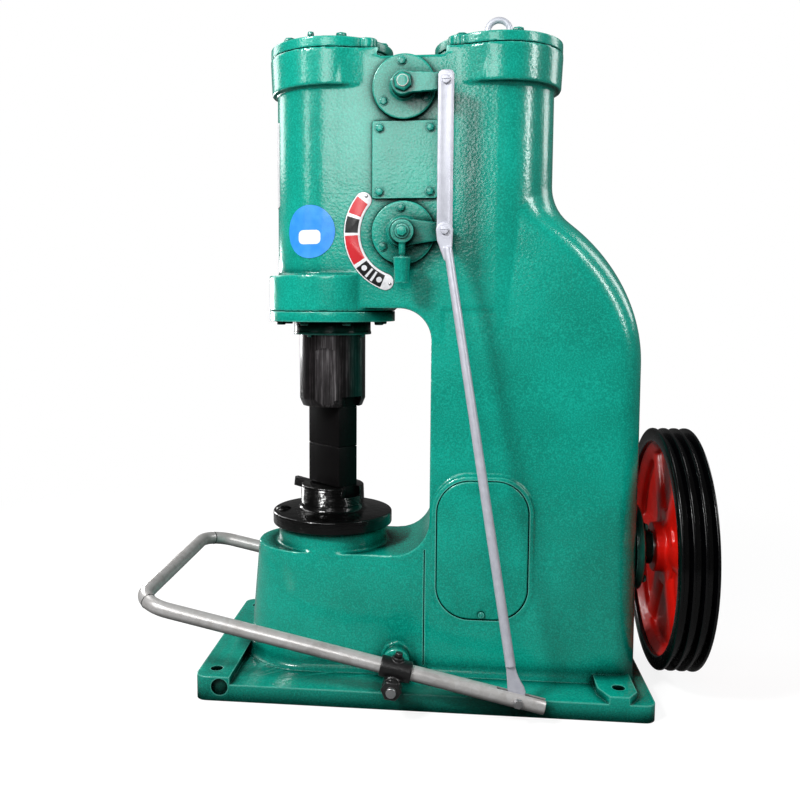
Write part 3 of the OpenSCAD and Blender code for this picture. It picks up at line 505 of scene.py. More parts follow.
def cast(parts, grid, passes, budget=None):
    # melts overlapping shapes into one skin with soft corners, as a casting or thick paint has
    piece = joined(parts)
    applied(piece, "REMESH", mode="VOXEL", voxel_size=grid / 1000)
    applied(piece, "SMOOTH", factor=0.5, iterations=passes)
    count = sum(len(face.vertices) - 2 for face in piece.data.polygons)
    if budget and count > budget:
        applied(piece, "DECIMATE", decimate_type="COLLAPSE", ratio=budget / count)
    return piece


def eased(piece, width, segments=3, angle=30):
    # breaks the sharp edges
    return applied(piece, "BEVEL", width=width / 1000, segments=segments, limit_method="ANGLE",
                   angle_limit=math.radians(angle), miter_outer="MITER_ARC", use_clamp_overlap=True)


def dress(mesh, material, crease):
    mesh.materials.clear()
    mesh.materials.append(material)
    mesh.shade_smooth()
    mesh.set_sharp_from_angle(angle=math.radians(crease))


def done(piece, name, material, body, *replaced, crease=38):
    # names a piece, gives it its finish and its body, and hides the CAD nodes that it stands for
    piece.name = name
    piece.data.name = name
    dress(piece.data, material, crease)
    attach(piece, body)
    if replaced:
        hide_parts(*replaced)
    return piece


def hexHead(radius, height):
    # a hexagon head or nut standing on z = 0, its top corners turned off
    return turned([(0, 0), (radius, 0), (radius, height * 0.72), (radius * 0.86, height), (0, height)],
                  steps=6, start=30)


def facing(piece, x, y, z):
    # stands a piece drawn on z = 0 out of the near side
    return placed(piece, (x, y, z), 90, "X")


def facingRear(piece, x, y, z):
    return placed(piece, (x, y, z), 90, "Y")


def flip(piece):
    # turns a drawn piece upside down
    return placed(piece, turn=180, axis="X")


def onCircle(radius, angle):
    return radius * math.cos(math.radians(angle)), radius * math.sin(math.radians(angle))


# frame casting: overlapping shapes melted into one skin, then the machined places cut into it

ramX, pumpX, crankZ = -187, 131, 260  # axes of the working cylinder, the air cylinder and the crank
valveX, upperZ, lowerZ, linkX = -41, 1122, 862, 35  # axes of the two rotary valves and of their link

castingSize = {
    "halfWidth": 106, "footWidth": 122, "pedestalWidth": 114, "frontX": ramX, "rearX": pumpX, "backX": 400,
    "throatX": 12, "edge": 48, "pedestalTop": 256, "throatTop": 724, "bodyTop": 1180, "flangeLow": 1129,
    "flangeHigh": 1195, "frontFlange": 119, "rearFlange": 121, "rearBarrel": 105.4, "collar": 124,
    "collarLow": 718, "collarHigh": 786, "noseX": -228, "noseFoot": 127, "noseTop": 108,
    "shoulder": 333.6, "shoulderLow": 620, "hollow": 90, "flangeDraft": 3, "seatFoot": 110.5, "seatTop": 107,
    "shoulderZ": 640, "ledge": 32, "windowX": 111, "windowZ": 273, "land": (188, 282, 70), "landY": -120,
    "window": (134, 228, 46), "rebate": (172.6, 266.6, 63.3), "shaftX": -47, "shaftZ": 62, "shaftBore": 9.1,
    "shaftBoss": 26, "bearingBoss": 80, "bearingBore": 55.2, "frontBore": 72.2, "rearBore": 75.2,
    "chestBore": 28.2, "throatCurve": 60, "footCurve": 70, "grid": 2.9, "softness": 3, "triangles": 178000}

# how far the body swells out at its foot, at each height above the ledge
footFlare = ((-4, 11), (0.5, 11), (2.2, 6.6), (5, 3.2), (9, 1.1), (14, 0))


def loft(rings):
    # a closed skin through rings that all have the same number of points
    size = len(rings[0])
    points = [point for ring in rings for point in ring]
    faces = [list(range(size)), list(range(len(points) - size, len(points)))]
    for row in range(len(rings) - 1):
        for i in range(size):
            j, here = (i + 1) % size, row * size
            faces.append([here + i, here + j, here + size + j, here + size + i])
    return meshObject(points, faces)


def between(low, high, share):
    return low + (high - low) * share


def rearCurve(d):
    # centre heights of the round shoulder and of the hollow curve that leads up into the rear cylinder
    wall, reach = d["rearX"] + d["rearBarrel"], d["shoulder"] + d["hollow"]
    high = d["shoulderLow"] + math.sqrt(reach ** 2 - (wall + d["hollow"] - d["backX"] + d["shoulder"]) ** 2)
    return high, d["shoulderLow"] + (high - d["shoulderLow"]) * d["shoulder"] / reach, wall


def rearLine(d, z):
    high, meet, wall = rearCurve(d)
    if z < meet:
        return d["backX"] - d["shoulder"] + math.sqrt(d["shoulder"] ** 2 - max(z - d["shoulderLow"], 0) ** 2)
    return wall + d["hollow"] - math.sqrt(d["hollow"] ** 2 - (high - z) ** 2)


def columnRing(d, z, swell):
    # plan of the column: square corners in the throat, round ones at the rear
    w = between(d["footWidth"], d["halfWidth"], (z - d["ledge"]) / (d["shoulderZ"] - d["ledge"])) + swell
    rise = min(max((z - d["shoulderZ"]) / (rearCurve(d)[0] - d["shoulderZ"]), 0), 1)
    back, edge = rearLine(d, z) + min(swell, 0), between(d["edge"], w - 1, rise * rise * (3 - 2 * rise))
    outline = ([(d["throatX"], -w)] + arc(back - edge, -w + edge, edge, -90, 0, 12)
               + arc(back - edge, w - edge, edge, 0, 90, 12) + [(d["throatX"], w)])
    return [(x, y, z) for x, y in outline]


def pedestalRing(d, z, swell):
    # plan of the pedestal: a round nose that runs straight back into the column
    share = (z - d["ledge"]) / (d["pedestalTop"] - d["ledge"])
    nose = between(d["noseFoot"], d["noseTop"], share) + swell
    side = between(d["footWidth"] - 2, d["pedestalWidth"], share) + swell
    end = d["throatX"] + 8
    lean = math.degrees(math.asin((nose - side) / math.hypot(end - d["noseX"], side)))
    turn = 90 - lean * 0.9
    outline = arc(d["noseX"], 0, nose, turn, 360 - turn, 40) + [(end, -side), (end, side)]
    return [(x, y, z) for x, y in outline]


def castingShapes(d):
    w, steps, top, low = d["halfWidth"], 128, d["throatTop"], d["pedestalTop"]
    foot = [(d["ledge"] + rise, swell) for rise, swell in footFlare]
    # column, its shoulder and the block under the bridge
    high = rearCurve(d)[0]
    levels = foot + [(d["shoulderLow"] + (high - d["shoulderLow"]) * i / 32, 0) for i in range(33)]
    shapes = [loft([columnRing(d, z, swell) for z, swell in levels])]
    # cylinders and the bridge between them
    shapes.append(rod(w, top, d["bodyTop"], centre=(d["frontX"], 0, 0), steps=steps))
    shapes.append(rod(d["rearBarrel"], top - 40, d["bodyTop"], centre=(d["rearX"], 0, 0), steps=steps))
    shapes.append(box((d["frontX"], -w, top), (d["rearX"], w, d["bodyTop"])))
    for x, radius, inward in ((d["frontX"], d["frontFlange"], 1), (d["rearX"], d["rearFlange"], -1)):
        shapes.append(turned([(0, d["flangeLow"]), (radius - d["flangeDraft"], d["flangeLow"]),
                              (radius, d["flangeHigh"]), (0, d["flangeHigh"])], (x, 0, 0), steps=steps))
        # each flange dies away into the flat sides
        out, along = onCircle(radius, 14)
        fade = [(along + 70 * i / 8, w - 0.4 + (out - w + 0.4) * (1 - i / 8) ** 2) for i in range(9)]
        for side in (-1, 1):
            shapes.append(prism([(x + inward * a, side * (b - 1)) for a, b in fade + [(along, w - 30)]],
                                d["flangeLow"] + 1, d["flangeHigh"]))
    shapes.append(rod(d["collar"], d["collarLow"], d["collarHigh"], centre=(d["frontX"], 0, 0), steps=steps))
    # throat fillets
    x, wide, r = d["throatX"], d["pedestalWidth"], d["throatCurve"]
    shapes.append(prism([(x + 20, top + 5), (x - r, top + 5)] + arc(x - r, top - r, r, 90, 0, 16)
                        + [(x + 20, top - r)], -w, w, "XZ"))
    r = d["footCurve"]
    shapes.append(prism([(x + 20, low + r)] + arc(x - r, low + r, r, 0, -90, 16)
                        + [(x - r, low - 5), (x + 20, low - 5)], -wide, wide, "XZ"))
    # pedestal with the seat of the die holder, window land and bosses
    shapes.append(loft([pedestalRing(d, z, swell) for z, swell in foot + [(low, 0)]]))
    shapes.append(turned([(0, low - 6), (d["seatFoot"], low - 6), (d["seatTop"], 292), (0, 292)],
                         (d["frontX"], 0, 0), steps=steps))
    land = roundedRectangle(d["windowX"], d["windowZ"], *d["land"], 20)
    shapes.append(prism(land, d["landY"], -90, "XZ"))
    shapes.append(rod(d["shaftBoss"], -150, 150, "Y", (d["shaftX"], 0, d["shaftZ"])))
    shapes.append(rod(d["bearingBoss"], 350, d["backX"], "X", (0, 0, crankZ)))
    return shapes


baseSize = {
    "length": 832, "width": 426, "corner": 20, "ledge": 32, "raised": 46, "frontEnd": -350,
    "holeFront": -384, "holeRear": 356, "holeY": 174, "holeRadius": 11, "plugX": -369, "plugZ": 27,
    "plugRecess": 15.5, "plug": 15.3, "edge": 2.2}


def baseBed(d):
    # planed bed with a raised front end and a raised pad under each rear foundation bolt
    halfX, halfY, corner = d["length"] / 2, d["width"] / 2, d["corner"]
    bed = prism(roundedRectangle(0, 0, d["length"], d["width"], corner), 0, d["ledge"])
    front = [(d["frontEnd"], halfY)] + arc(corner - halfX, halfY - corner, corner, 90, 180)
    front += arc(corner - halfX, corner - halfY, corner, 180, 270) + [(d["frontEnd"], -halfY)]
    raised = [prism(front, 1, d["raised"])]
    pad = [(318, 100), (386, 100), (386, halfY - 24), (369, halfY), (334, halfY), (318, halfY - 34)]
    for side in (-1, 1):
        raised.append(prism([(x, side * y) for x, y in pad], 1, d["raised"]))
    for part in raised:
        applied(bed, "BOOLEAN", operation="UNION", solver="EXACT", object=part)
        bpy.data.objects.remove(part)
    cuts = [rod(d["holeRadius"], -2, 60, centre=(x, side * d["holeY"], 0), steps=48)
            for x in (d["holeFront"], d["holeRear"]) for side in (-1, 1)]
    cuts.append(rod(d["plugRecess"], -halfY - 5, -halfY + 8, "Y", (d["plugX"], 0, d["plugZ"])))
    return eased(cutAway(bed, cuts, "EXACT"), d["edge"], 3, 30)


def castingCuts(d):
    w, land = d["halfWidth"], d["landY"]
    crank, window = (0, 0, crankZ), (d["windowX"], d["windowZ"])
    cuts = [
        # bores of the two cylinders
        rod(d["frontBore"], 700, 1220, centre=(d["frontX"], 0, 0), steps=96),
        rod(d["rearBore"], 590, 1220, centre=(d["rearX"], 0, 0), steps=96),
        # crank chamber, the hollow behind it and the hollow pedestal
        box((40, -90, 60), (205, 90, 592)), box((248, -88, 60), (349, 88, 345)),
        box((248, -88, 344), (378, 88, 690)), rod(86, -1, 200, centre=(d["noseX"], 0, 0)),
        box((d["noseX"], -80, -1), (-90, 80, 200)), rod(60, 232, 330, centre=(d["frontX"], 0, 0), steps=96),
        # bearings, treadle shaft, window and air port
        rod(d["bearingBore"], 204, 249, "X", crank), rod(d["bearingBore"], 349, 420, "X", crank),
        rod(d["shaftBore"], -230, 230, "Y", (d["shaftX"], 0, d["shaftZ"])),
        prism(roundedRectangle(*window, *d["window"], 12), land - 5, land + 35, "XZ"),
        box((-77, -w - 1, 943), (-1, -60, 1043))]
    # valve chests and the air ways that join them to both cylinders
    for z in (upperZ, lowerZ):
        cuts += [rod(d["chestBore"], -w - 5, 80, "Y", (valveX, 0, z)), rod(13, -127, 71, "X", (0, 0, z))]
    # the faces planed flat for the lids, and the line where the pedestal meets the column
    cuts += [box((-340, -140, 1195), (290, 140, 1230))]
    for side in (-1, 1):
        rings = []
        for z in (d["ledge"] + 16, d["pedestalTop"] + 14):
            share = (z - d["ledge"]) / (d["pedestalTop"] - d["ledge"])
            y = between(d["footWidth"] - 2, d["pedestalWidth"], share)
            rings.append([(x, side * (y + out), z) for x, out in ((2.6, -3), (4.0, -3), (5.6, 9), (1.0, 9))])
        cuts.append(loft(rings))
    return cuts + [prism(roundedRectangle(*window, *d["rebate"], 20), land - 5, land + 8.6, "XZ")]


def hull(parts):
    piece = joined(parts)
    shell = bmesh.new()
    shell.from_mesh(piece.data)
    bmesh.ops.convex_hull(shell, input=shell.verts)
    loose = [v for v in shell.verts if not v.link_faces]
    bmesh.ops.delete(shell, geom=loose, context="VERTS")
    shell.to_mesh(piece.data)
    shell.free()
    return piece


casting = cast(castingShapes(castingSize), *(castingSize[key] for key in ("grid", "softness", "triangles")))
bed = baseBed(baseSize)
applied(casting, "BOOLEAN", operation="UNION", solver="MANIFOLD", object=bed)
bpy.data.objects.remove(bed)
cutAway(casting, castingCuts(castingSize))
done(casting, "cast_frame", enamelOnCasting, "frame", "frame_casting", crease=42)
print("casting:", len(casting.data.polygons), "faces")

# a blanking disc pressed into the recess in the bed's near side, in the enamel with painted shade
plugAxis = (baseSize["plugX"], 0, baseSize["plugZ"])
disc = edgedRod(baseSize["plug"], -206.6, -204.6, 0.5, "Y", plugAxis)
done(disc, "bed_blanking_disc", shadedEnamel, "frame")


# lids, their bolts and the lifting eye

lidSize = {"low": 1195.4, "high": 1215, "bolts": 102, "head": 11.1, "headHeight": 8, "washer": 1.6,
           "lugCircle": 110, "lug": 19, "grid": 1.9, "triangles": 42000}


def lid(x, radius, lugs):
    d = lidSize
    parts = [rod(radius, d["low"], d["high"], centre=(x, 0, 0), steps=128)]
    for along, out in [onCircle(d["lugCircle"], angle) for angle in lugs]:
        parts.append(rod(d["lug"], d["low"], d["high"], centre=(x + along, out, 0)))
    piece = cast(parts, d["grid"], 4, d["triangles"])
    return cutAway(piece, [box((x - 160, -160, 1190), (x + 160, 160, d["low"] + 0.4))])


def boltRing(centre, radius, angles, head, height, place=None, washer=0):
    heads = []
    for angle in angles:
        bolt = placed(hexHead(head, height), turn=angle * 1.7)  # no two heads stop at the same angle
        if washer:
            bolt = joined([bolt, edgedRod(head * 1.15, -0.3, washer, washer * 0.4, steps=40)])
        heads.append(placed(bolt, (*onCircle(radius, angle), 0)))
    ring = eased(joined(heads), 0.9, 2, 25)
    if place:
        ring = place(ring)
    return placed(ring, centre)


lidAngles = [47 + 60 * i for i in range(6)]
for side, x, radius, lugs in (("front", ramX, 118, (-47, 47)), ("rear", pumpX, 120, (-133, 133))):
    done(lid(x, radius, lugs), side + "_cylinder_lid", enamelOnPlate, "frame", side + "_lid")
    top, circle = (x, 0, lidSize["high"] - 0.2), lidSize["bolts"]
    ring = boltRing(top, circle, lidAngles, lidSize["head"], lidSize["headHeight"], washer=lidSize["washer"])
    if side == "front":
        # an oil plug with a tall head stands between two of the screws
        ring = joined([ring, boltRing(top, circle, [255], 6.6, 11.6)])
    done(ring, side + "_lid_screws", enamelOnFitting, "frame", side + "_lid_bolts")


def liftingEye():
    ring = turned(arc(21, 0, 6, 0, 342, 19), (pumpX, 0, 1246), "Y", 72)
    collar = turned([(0, 1214.6), (15, 1214.6), (15, 1220)] + arc(12.4, 1219.4, 2.6, 15, 80, 4)
                    + [(10, 1224), (7.5, 1229), (0, 1229)], (pumpX, 0, 0), steps=64)
    return cast([ring, collar], 1.1, 3, 16000)


done(liftingEye(), "lifting_eye_bolt", silverPaint, "frame", "lifting_eye")


# ram guide under the working cylinder, and the gland under the guide

guideSize = {"bore": 66.3, "flange": 124, "low": 698, "high": 717.6, "spigot": 72, "top": 797, "edge": 1.4,
             "bolts": 104, "count": 8, "first": 22.5, "head": 9.3, "headHeight": 7, "washer": 1.5}
glandSize = {"bore": 66, "flange": 77, "low": 672, "high": 677, "spigot": 76, "top": 697.6, "edge": 1.0,
             "bolts": 71.7, "count": 4, "first": 30, "head": 5.6, "headHeight": 4, "washer": 0}


def flanged(d, draft):
    profile = [(d["bore"], d["low"]), (d["flange"], d["low"]), (d["flange"], d["high"]),
               (d["spigot"], d["high"] + draft), (d["spigot"], d["top"]), (d["bore"], d["top"])]
    return eased(turned(profile, (ramX, 0, 0), steps=144), d["edge"], 3, 25)


def flangeBolts(d):
    angles = [d["first"] + 360 / d["count"] * i for i in range(d["count"])]
    return boltRing((ramX, 0, d["low"]), d["bolts"], angles, d["head"], d["headHeight"], flip, d["washer"])


done(flanged(guideSize, 0), "ram_guide_flange", enamelOnPlate, "frame", "guide_flange")
# the gland and the screw heads under the guide take the enamel with painted shade
done(flanged(glandSize, 2), "ram_gland", shadedEnamel, "frame", "gland_ring")
flangeScrews = joined([flangeBolts(guideSize), flangeBolts(glandSize)])
done(flangeScrews, "guide_screws", shadedEnamel, "frame", "guide_bolts")


# ram and dies

ramSize = {"radius": 65.5, "low": 531, "flat": 62.3, "flatWidth": 30, "runOut": 625, "turn": -5, "crown": 34}
anvilZ = 371  # top of the die holder

# dies and wedges: half length and half width of a die, and the outlines across the dovetail seat
dieSize = {"half": (50, 23), "height": 79.8, "seat": ((21, -1), (-22, -1), (-25, 20), (24, 20)),
           "tenon": ((12, -0.5), (-22, -0.5), (-25, 19.6), (15, 19.6)),
           "wedge": ((12.2, 0.2), (21, 0.2), (23.8, 19.4), (15.1, 19.4))}


def seated(piece, z, up):
    # drawn above z = 0 along X; the lower one is its mirror image
    if not up:
        shrunk(piece, 1, 1, -1).data.flip_normals()
    return placed(piece, (ramX, 0, z), 135)


def seatCutter(z, up):
    return seated(prism(dieSize["seat"], -90, 90, "YZ"), z, up)


def seatedDie(z, up):
    x, y = dieSize["half"]
    block = eased(box((-x, -y, -dieSize["height"]), (x, y, 0)), 1.6, 3)
    tenon = prism(dieSize["tenon"], -x, x, "YZ")
    return seated(joined([block, eased(tenon, 0.8, 2)]), z, up)


def seatKey(z, up, low, high):
    return seated(eased(prism(dieSize["wedge"], low, high, "YZ"), 1.4, 3), z, up)


def ramBody(d):
    r = d["radius"]
    profile = [(0, d["low"]), (r - 6, d["low"])] + arc(r - 2.4, d["low"] + 15, 2.4, -25, 0, 4)
    profile += [(r, 930), (71.9, 930), (71.9, 974), (66, 974), (66, 1000), (0, 1000)]
    piece = turned(profile, (ramX, 0, 0), steps=160)
    cuts = []
    for half in (0, 180):
        # a flat on each side, its top end round where the cutter stopped
        slab = box((-d["flatWidth"], -90, d["low"] - 2), (d["flatWidth"], -d["flat"], d["runOut"]))
        crown = rod(d["crown"], -90, -d["flat"], "Y", (0, 0, d["runOut"] - 12), 64)
        cuts += [placed(part, (ramX, 0, 0), half + d["turn"]) for part in (slab, crown)]
    cuts += [rod(47, 660, 1100, centre=(ramX, 0, 0)), seatCutter(d["low"], True)]
    return cutAway(piece, cuts, "EXACT")


ram = eased(ramBody(ramSize), 0.9, 2, 28)
done(ram, "ram_shaft", oiledSteel, "ram", "ram", crease=30)
done(seatedDie(ramSize["low"], True), "upper_die_block", dieSteel, "ram", "upper_die")
done(seatedDie(anvilZ, False), "lower_die_block", dieSteel, "frame", "lower_die")
done(seatKey(ramSize["low"], True, -58, 58), "upper_wedge", dieSteel, "ram", "upper_die_key")
done(seatKey(anvilZ, False, -60, 104), "lower_wedge", dieSteel, "frame", "lower_die_key")


holderSize = {"spigot": 59.5, "low": 234, "seat": 292.3, "disc": 120, "rim": 318, "boss": 63, "bossLow": 333,
              "rings": 12, "ringPitch": 2.9, "ringDepth": 1.2, "taper": 0.1, "knob": (-96, -22, 318)}


def dieHolder(d):
    spigot, disc, low = d["spigot"], d["disc"], d["seat"]
    profile = [(0, d["low"]), (spigot, d["low"]), (spigot, low), (disc - 4, low)]
    profile += arc(disc - 3, low + 3, 3, -90, 0, 4)[1:] + arc(disc - 4, d["rim"] - 4, 4, 0, 80, 5)
    profile += [(76, 321.5)] + arc(73, 330, 8.5, -95, -160, 5)
    # the boss is left as turned, with the rings of the tool
    for i in range(d["rings"]):
        radius, z = d["boss"] - i * d["taper"], d["bossLow"] + i * d["ringPitch"]
        profile += [(radius, z), (radius + d["ringDepth"], z + d["ringPitch"] / 2 - 0.05)]
    profile += arc(59.4, 367, 3.6, 0, 80, 4) + [(0, 370.8)]
    piece = turned(profile, (ramX, 0, 0), steps=160)
    cutAway(piece, [seatCutter(anvilZ, False)], "EXACT")
    # a knob at the front of the disc
    lump = shrunk(turned([(0, 0), (11, 0), (9.5, 4), (5, 7.5), (0, 8.5)], steps=40), 1.5, 1, 1)
    return joined([eased(piece, 0.7, 2, 40), placed(lump, Vector((ramX, 0, 0)) + Vector(d["knob"]), 20)])


done(dieHolder(holderSize), "die_holder_disc", lacqueredSteel, "frame", "die_holder", crease=50)
print("ram and dies made")


# rotary valves: covers, arms and the plate between them

valveSize = {"cover": 57.5, "front": -118, "collar": 14, "collarFront": -122, "bolts": 45, "head": 7.4,
             "headHeight": 3.4, "washer": 1.2}


def valveCover(d, z, bore, cut):
    # cut is the height above the axis where the plate between the valves takes the cover's rim away
    axis = (valveX, 0, z)
    parts = [rod(d["cover"], d["front"], -106, "Y", axis, 112),
             rod(bore + d["collar"], d["collarFront"], -110, "Y", axis, 72)]
    piece = cast(parts, 1.3, 3, 26000)
    left, right = valveX - 70, valveX + 70
    cuts = [box((left, -130, z + cut), (right, -90, z + cut + 40)), rod(bore, -130, -100, "Y", axis),
            box((left, -106.2, z - 70), (right, -90, z + 70))]
    return eased(cutAway(piece, cuts), 0.7, 2, 50)


def coverScrews(d, z):
    ring = boltRing((0, 0, 0), d["bolts"], (95, 215, 335), d["head"], d["headHeight"], washer=d["washer"])
    return facing(ring, valveX, d["front"] + 0.2, z)


for level, *cover in (("upper", upperZ, 10.3, -98), ("lower", lowerZ, 15.3, 57)):
    done(valveCover(valveSize, *cover), level + "_valve_lid", enamelOnPlate, "frame", level + "_valve_cover",
         crease=50)
for level, z in (("upper", upperZ), ("lower", lowerZ)):
    done(coverScrews(valveSize, z), level + "_valve_screws", enamelOnFitting, "frame", level + "_cover_bolts")

portSize = {"x": -39, "z": 993.5, "width": 120, "height": 139, "corner": 4, "front": -112, "screwX": 46,
            "screwZ": 57, "head": 7.4, "headHeight": 5}
portOutline = roundedRectangle(*(portSize[key] for key in ("x", "z", "width", "height", "corner")))
portCover = cast([prism(portOutline, portSize["front"], -104, "XZ")], 1.4, 2, 16000)
cutAway(portCover, [rod(58.3, -130, -90, "Y", (valveX, 0, z), 96) for z in (upperZ, lowerZ)]
        + [box((-120, -106.1, 900), (40, -80, 1080))])
done(eased(portCover, 0.7, 2, 50), "port_lid", enamelOnPlate, "frame", "port_cover", crease=50)
portScrews = []
for sideX in (-1, 1):
    for sideZ in (-1, 1):
        head = placed(hexHead(portSize["head"], portSize["headHeight"]), turn=13 + 31 * sideX)
        bolt = joined([head, edgedRod(8.6, -0.3, 1.3, 0.5, steps=36)])
        portScrews.append(facing(bolt, portSize["x"] + portSize["screwX"] * sideX, portSize["front"] + 0.2,
                                 portSize["z"] - 0.5 + portSize["screwZ"] * sideZ))
done(eased(joined(portScrews), 0.8, 2, 25), "port_screws", enamelOnFitting, "frame", "port_cover_bolts")


armSize = {"thick": 12, "tip": 14, "pinBoss": 13.6, "pinFront": -149.6, "pinHole": 5.1, "hubBack": -122.6}


def valveArm(d, z, hub, front, bore):
    # a flat lever hung between its hub on the valve's spindle and the boss for the link's pin
    axis, pin, back = (valveX, 0, z), (linkX, 0, z), front + d["thick"]
    lever = hull([rod(hub - 2, front, back, "Y", axis, 64), rod(d["tip"], front, back, "Y", pin, 48)])
    parts = [lever, rod(hub, front, d["hubBack"], "Y", axis, 80),
             rod(d["pinBoss"], d["pinFront"], back, "Y", pin, 64)]
    piece = cast(parts, 1.2, 4, 22000)
    cutAway(piece, [rod(bore, -160, -110, "Y", axis), rod(d["pinHole"], -160, -110, "Y", pin)])
    return eased(piece, 0.5, 2, 60)


for level, *arm in (("upper", upperZ, 21, -150, 10.1), ("lower", lowerZ, 27, -134, 15.1)):
    done(valveArm(armSize, *arm), level + "_valve_arm", enamelOnFitting, level + "_valve", level + "_arm",
         crease=55)

armNut = eased(joined([placed(hexHead(17, 8.6), turn=8), edgedRod(9.8, 0.2, 12, 1, steps=48)]), 0.9, 2, 25)
done(facing(armNut, valveX, -150.2, upperZ), "upper_arm_hex_nut", enamelOnFitting,
     "upper_valve", "upper_arm_nut")


# link bar, link rod and their pins

barSize = {"front": -158.4, "back": -150.4, "width": 28, "corner": 9, "past": 17, "holes": (5.4, 5.1)}
barMiddle, barLength = (upperZ + lowerZ) / 2, upperZ - lowerZ + 2 * barSize["past"]
linkBar = prism(roundedRectangle(linkX, barMiddle, barSize["width"], barLength, barSize["corner"]),
                barSize["front"], barSize["back"], "XZ")
barHoles = [rod(hole, -170, -140, "Y", (linkX, 0, z)) for hole, z in zip(barSize["holes"], (upperZ, lowerZ))]
cutAway(linkBar, barHoles, "EXACT")
done(eased(linkBar, 1.6, 3, 40), "link_flat_bar", silverPaint, "link_bar", "link_bar", crease=50)


linkPins = {"head": 7.4, "headHeight": 3.8, "slot": 1.4, "stem": 4.9, "inside": -134.8}


def linkPin(d, z, front):
    # a slotted head on a plain stem that reaches into the arm
    head = edgedRod(d["head"], -0.1, d["headHeight"], 1.2, steps=48)
    cutAway(head, [box((-9, -d["slot"] / 2, 2.2), (9, d["slot"] / 2, 5))], "EXACT")
    stem = edgedRod(d["stem"], front - d["inside"], 0, 0.5, steps=40)
    return facing(joined([eased(head, 0.25, 1, 40), stem]), linkX, front, z)


for level, *pin in (("upper", upperZ, -158.8), ("lower", lowerZ, -165.2)):
    done(linkPin(linkPins, *pin), level + "_link_screw", silverPaint, level + "_valve", level + "_link_pin")

rodSize = {"headFront": -164.8, "headBack": -158.8, "footFront": -240, "footBack": -234, "radius": 7.6,
           "footRadius": 8.8, "head": 15, "headHole": 5.1, "eye": 9.6, "eyeHole": 7.5, "pinX": 172.0,
           "pinZ": 42.7}


def linkRod(d):
    # a round rod whose two ends are forged flat; the flats run out into the round in a few facets
    top = Vector((linkX + 6, (d["headFront"] + d["headBack"]) / 2, lowerZ - 30))
    foot = Vector((d["pinX"] - 12.5, (d["footFront"] + d["footBack"]) / 2, d["pinZ"] + 60))
    run = foot - top
    shank = turned([(0, 0), (d["radius"], 0), (d["footRadius"], run.length), (0, run.length)], steps=48)
    shank.data.transform(Matrix.Translation(top / 1000) @ run.to_track_quat("Z", "X").to_matrix().to_4x4())
    head = prism(arc(linkX, lowerZ, d["head"], 180, 0, 20)
                 + [(linkX + 14.4, lowerZ - 16), (linkX + 12.8, lowerZ - 62), (linkX - 0.4, lowerZ - 52),
                    (linkX - 13.4, lowerZ - 17)], d["headFront"], d["headBack"], "XZ")
    # the foot flares towards the rear, then narrows into the eye that stands in the pipe's slot
    blade = [(10.5, 0), (13.4, 8), (14, 16), (11.5, 24), (6.5, 32), (2.4, 40), (-1.6, 50), (-4.6, 60),
             (-6.6, 72), (-21.4, 72), (-19.2, 44), (-17, 16), (-14, 6)]
    pad = prism([(d["pinX"] + a, d["pinZ"] + b) for a, b in arc(0, 0, d["eye"], 180, 350, 20) + blade],
                d["footFront"], d["footBack"], "XZ")
    piece = cast([shank, head, pad], 1.1, 3, 36000)
    return cutAway(piece, [rod(d["headHole"], -180, -140, "Y", (linkX, 0, lowerZ)),
                           rod(d["eyeHole"], -250, -220, "Y", (d["pinX"], 0, d["pinZ"]))])


done(linkRod(rodSize), "link_pull_rod", silverPaint, "link_rod", "link_rod", crease=50)


# hand lever and its scale

leverSize = {"grip": 12.6, "gripTop": 15.8, "gripY": -146, "gripHalf": 11.6, "neck": 6.2, "neckY": -144,
             "boss": 21, "bossFront": -151.8, "bossBack": -135.2, "bore": 9.1}


def handLever(d):
    # a stubby grip with two flats, a thin neck and the boss on the lower valve's spindle
    grip = hull([edgedRod(d["grip"], -93, -91, 0.8, steps=40), edgedRod(d["gripTop"], -46, -43, 1, steps=40)])
    placed(grip, (valveX, d["gripY"], lowerZ))
    left, right = valveX - 40, valveX + 40
    front, back = d["gripY"] - d["gripHalf"], d["gripY"] + d["gripHalf"]
    cutAway(grip, [box((left, -180, lowerZ - 120), (right, front, lowerZ)),
                   box((left, back, lowerZ - 120), (right, -120, lowerZ))], "EXACT")
    neck = rod(d["neck"], -56, -10, centre=(valveX, d["neckY"], lowerZ))
    boss = rod(d["boss"], d["bossFront"], d["bossBack"], "Y", (valveX, 0, lowerZ), 72)
    piece = cast([grip, neck, boss], 1.15, 4, 20000)
    return cutAway(piece, [rod(d["bore"], -160, -130, "Y", (valveX, 0, lowerZ))])


done(handLever(leverSize), "hand_lever_forging", enamelOnFitting, "hand_lever", "hand_lever", crease=55)
leverNut = joined([edgedRod(13, 0, 2, 0.8, steps=48), placed(hexHead(10, 6), (0, 0, 2), 12)])
done(facing(eased(leverNut, 0.6, 2, 25), valveX, -153, lowerZ), "hand_lever_screw", enamelOnFitting,
     "hand_lever", "hand_lever_bolt")

